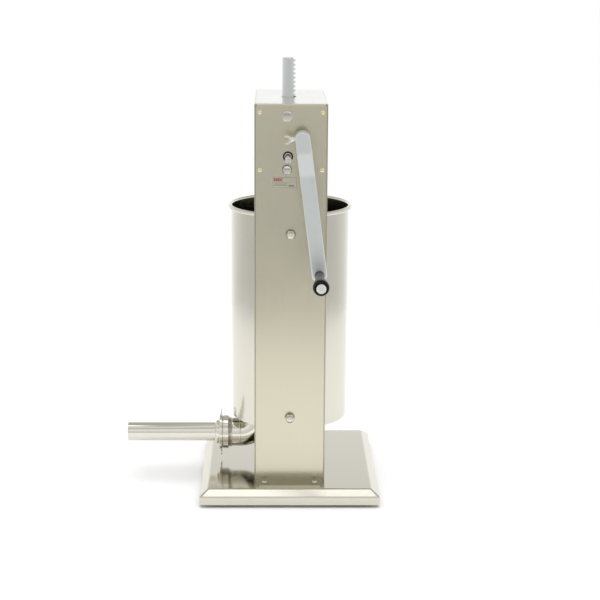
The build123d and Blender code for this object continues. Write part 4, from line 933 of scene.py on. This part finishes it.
def printed(name, mat, boxes, lift):
    """Flat inked bars on the plate: (left, top, width, height) from its top left corner, in millimetres."""
    bm = bmesh.new()
    for left, top, width, height in boxes:
        low = (LABEL[0].x + left * MM, LABEL[0].y - lift, LABEL[1].z - (top + height) * MM)
        box_bm(low, (low[0] + width * MM, LABEL[0].y + 0.05 * MM, LABEL[1].z - top * MM), bm)
    add_piece(bm, name, mat, "frame")


plate_middle = ((LABEL[0].x + LABEL[1].x) / 2, LABEL[1].y, (LABEL[0].z + LABEL[1].z) / 2)
plate_bm = prism(rounded_rectangle(PLATE_W / 2, PLATE_H / 2, 1.5 * MM, 6), plate_middle, (1, 0, 0),
                 (0, 0, 1), LABEL[1].y - LABEL[0].y)
plate = new_object("warning_plate", plate_bm, LABEL_PLATE, "frame", ("label_plate",))
soft_edges(plate, 0.15 * MM, 2, 50)
WIDE, TALL = PLATE_W / MM, PLATE_H / MM
BORDER = ((0.8, 0.8, WIDE - 1.6, 0.5), (0.8, TALL - 1.3, WIDE - 1.6, 0.5),
          (0.8, 1.3, 0.5, TALL - 2.6), (WIDE - 1.3, 1.3, 0.5, TALL - 2.6))
RED_BARS = ((2.6, 2.3, 15.5, 1.0), (2.6, 3.3, 2.2, 2.8), (6.0, 3.3, 2.4, 2.8),
            (9.6, 3.3, 2.4, 2.8), (13.2, 3.3, 2.2, 2.8), (2.6, 6.1, 15.5, 0.8))
GREY_BARS = ((3.0, 9.3, 24.0, 0.7), (3.0, 11.4, 20.0, 0.7), (3.0, 13.5, 22.0, 0.7), (26.5, 13.0, 9.0, 2.6))
printed("plate_border", LABEL_GREY, BORDER, 0.04 * MM)
printed("plate_red_patch", LABEL_RED, RED_BARS, 0.05 * MM)
printed("plate_grey_lines", LABEL_GREY, GREY_BARS, 0.05 * MM)

# -------------------------------------------------- screws on the sides and the column foot
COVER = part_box("cover_screws")
# where the screws are, in millimetres: (y, z) on each side of the head, (x, y) on the foot
COVER_SPOTS = ((45, 553), (85, 553), (102, 580), (102, 635))


def make_cover_screws():
    bm = bmesh.new()
    half = COLUMN[1].x
    for side in (-1, 1):
        for y, z in COVER_SPOTS:
            spot = Vector((side * half, y * MM, z * MM))
            round_head(bm, spot, (side, 0, 0), 4 * MM, COVER[1].x - half, 1.5 * MM)
            add_shank(bm, spot, (side, 0, 0), 2 * MM, 6.5 * MM)
    add_piece(bm, "side_screws", BRIGHT, "frame", ("cover_screws",), 40)


make_cover_screws()

FOOT_SPOTS = ((-42, -125), (42, -125), (-46, -99), (46, -99))
FOOT_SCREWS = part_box("column_foot_screws")


def make_foot_screws():
    bm = bmesh.new()
    seat = BASE_TOP + 2 * MM
    for x, y in FOOT_SPOTS:
        spot = Vector((x * MM, y * MM, seat))
        round_head(bm, spot, (0, 0, 1), 4.6 * MM, FOOT_SCREWS[1].z - seat, 1.6 * MM)
        add_shank(bm, spot, (0, 0, 1), 2.5 * MM, seat - FOOT_SCREWS[0].z)
    add_piece(bm, "foot_screws", BRIGHT, "frame", ("column_foot_screws",), 40)


make_foot_screws()

# ------------------------------------------------------------------ camera, light and floor
CAMERA_AT = (-0.03075, -2.47366, 0.92609)
CAMERA_PITCH = radians(13.86)
CAMERA_YAW = radians(1.13)
CAMERA_ROLL = radians(0.40)
# focal length as a share of the picture's width
FOCAL_RATIO = 2.4713
SENSOR_WIDTH = 36.0

level = cos(CAMERA_PITCH)
forward = Vector((sin(CAMERA_YAW) * level, cos(CAMERA_YAW) * level, -sin(CAMERA_PITCH)))
right = Vector((cos(CAMERA_YAW), -sin(CAMERA_YAW), 0))
up = right.cross(forward)
roll_cos, roll_sin = cos(CAMERA_ROLL), sin(CAMERA_ROLL)
right, up = right * roll_cos + up * roll_sin, up * roll_cos - right * roll_sin
lens = bpy.data.cameras.new("camera")
lens.sensor_width = SENSOR_WIDTH
lens.lens = FOCAL_RATIO * SENSOR_WIDTH
lens.clip_end = 100.0
camera = bpy.data.objects.new("camera", lens)
camera.matrix_world = Matrix.Translation(CAMERA_AT) @ Matrix((right, up, -forward)).transposed().to_4x4()
bpy.context.scene.collection.objects.link(camera)
bpy.context.scene.camera = camera
bpy.context.scene.view_settings.view_transform = "Standard"

FLOOR_R = 1.25
floor_bm = bmesh.new()
bmesh.ops.create_circle(floor_bm, cap_ends=True, radius=FLOOR_R, segments=128)
floor_mesh = bpy.data.meshes.new("floor")
floor_bm.to_mesh(floor_mesh)
floor_bm.free()
floor = bpy.data.objects.new("floor", floor_mesh)
bpy.context.scene.collection.objects.link(floor)
floor_mat = bpy.data.materials.new("floor")
floor_mat.use_nodes = True
floor_shader = floor_mat.node_tree.nodes["Principled BSDF"]
floor_shader.inputs["Base Color"].default_value = colour(0.86, 0.86, 0.86)
floor_shader.inputs["Roughness"].default_value = 1.0
floor_shader.inputs["Specular IOR Level"].default_value = 0.0
floor_mesh.materials.append(floor_mat)

SOFT_SIZE = 3.2
SOFT_HEIGHT = 2.6
SOFT_POWER = 66.0
soft = bpy.data.lights.new("overhead_soft_box", "AREA")
soft.shape = "SQUARE"
soft.size = SOFT_SIZE
soft.energy = SOFT_POWER
soft_box = bpy.data.objects.new("overhead_soft_box", soft)
soft_box.location = (0, 0, SOFT_HEIGHT)
soft_box.visible_glossy = False
soft_box.visible_camera = False
bpy.context.scene.collection.objects.link(soft_box)


# a colour ramp ends at 1, so brightness is stored as a share of this
RAMP_TOP = 2.0
# keeps the division by the level part of a direction finite straight up and down
LEAST_LEVEL = 0.0004


def make_world():
    """A soft studio: brightness by height, one ramp ahead and one behind. The camera sees plain white."""
    world = bpy.data.worlds.new("studio")
    bpy.context.scene.world = world
    world.use_nodes = True
    tree = world.node_tree
    tree.nodes.clear()
    out = tree.nodes.new("ShaderNodeOutputWorld")
    place = tree.nodes.new("ShaderNodeTexCoord")
    parts = tree.nodes.new("ShaderNodeSeparateXYZ")
    tree.links.new(place.outputs["Generated"], parts.inputs["Vector"])

    def ramp(source, stops):
        """Brightness along a value from -1 to 1, stored as a share of RAMP_TOP."""
        node = tree.nodes.new("ShaderNodeValToRGB")
        elements = node.color_ramp.elements
        while len(elements) > 1:
            elements.remove(elements[-1])
        for index, (at, value) in enumerate(stops):
            element = elements[0] if index == 0 else elements.new((at + 1) / 2)
            element.position = (at + 1) / 2
            element.color = colour(*[value / RAMP_TOP] * 3)
        tree.links.new(source, node.inputs["Fac"])
        return node.outputs["Color"]

    def maths(operation, a, b=None):
        node = tree.nodes.new("ShaderNodeMath")
        node.operation = operation
        for index, value in enumerate((a, b)):
            if value is None:
                continue
            if isinstance(value, float):
                node.inputs[index].default_value = value
            else:
                tree.links.new(value, node.inputs[index])
        return node.outputs[0]

    height = maths("ADD", maths("MULTIPLY", parts.outputs["Z"], 0.5), 0.5)
    flat_squared = maths("SUBTRACT", 1.0, maths("POWER", parts.outputs["Z"], 2.0))
    level = maths("SQRT", maths("MAXIMUM", flat_squared, LEAST_LEVEL))
    facing = maths("ADD", maths("MULTIPLY", maths("DIVIDE", parts.outputs["Y"], level), 0.5), 0.5)
    front = ramp(height, ((-1.0, 0.60), (-0.26, 0.54), (-0.20, 0.54), (-0.17, 0.60), (-0.11, 0.70),
                          (-0.02, 0.74), (0.06, 0.80), (0.24, 0.80), (0.42, 0.96), (0.58, 1.02),
                          (0.70, 0.69), (0.82, 0.60), (0.915, 0.98), (0.965, 0.66), (0.982, 0.66),
                          (0.992, 1.75)))
    back = ramp(height, ((-1.0, 1.0), (-0.10, 1.1), (0.02, 1.22), (0.11, 1.16), (0.24, 1.02),
                         (0.33, 0.96), (0.37, 0.84), (0.44, 0.60), (0.73, 0.50), (0.88, 0.56),
                         (0.94, 0.44), (0.980, 0.42), (0.992, 1.75)))
    share = ramp(facing, ((-1.0, 0.0), (-0.30, 0.16), (0.10, 0.26), (0.35, 0.36), (0.70, 0.66),
                          (0.90, 0.92), (1.0, 1.0)))
    mix = tree.nodes.new("ShaderNodeMix")
    mix.data_type = "RGBA"
    tree.links.new(maths("MULTIPLY", share, RAMP_TOP), mix.inputs["Factor"])
    tree.links.new(front, mix.inputs[MIX_A])
    tree.links.new(back, mix.inputs[MIX_B])
    studio = tree.nodes.new("ShaderNodeBackground")
    studio.inputs["Strength"].default_value = RAMP_TOP
    tree.links.new(mix.outputs[MIX_RESULT], studio.inputs["Color"])
    plain = tree.nodes.new("ShaderNodeBackground")
    plain.inputs["Color"].default_value = colour(1, 1, 1)
    plain.inputs["Strength"].default_value = 1.0
    path = tree.nodes.new("ShaderNodeLightPath")
    choose = tree.nodes.new("ShaderNodeMixShader")
    tree.links.new(path.outputs["Is Camera Ray"], choose.inputs["Fac"])
    tree.links.new(studio.outputs["Background"], choose.inputs[1])
    tree.links.new(plain.outputs["Background"], choose.inputs[2])
    tree.links.new(choose.outputs["Shader"], out.inputs["Surface"])


make_world()
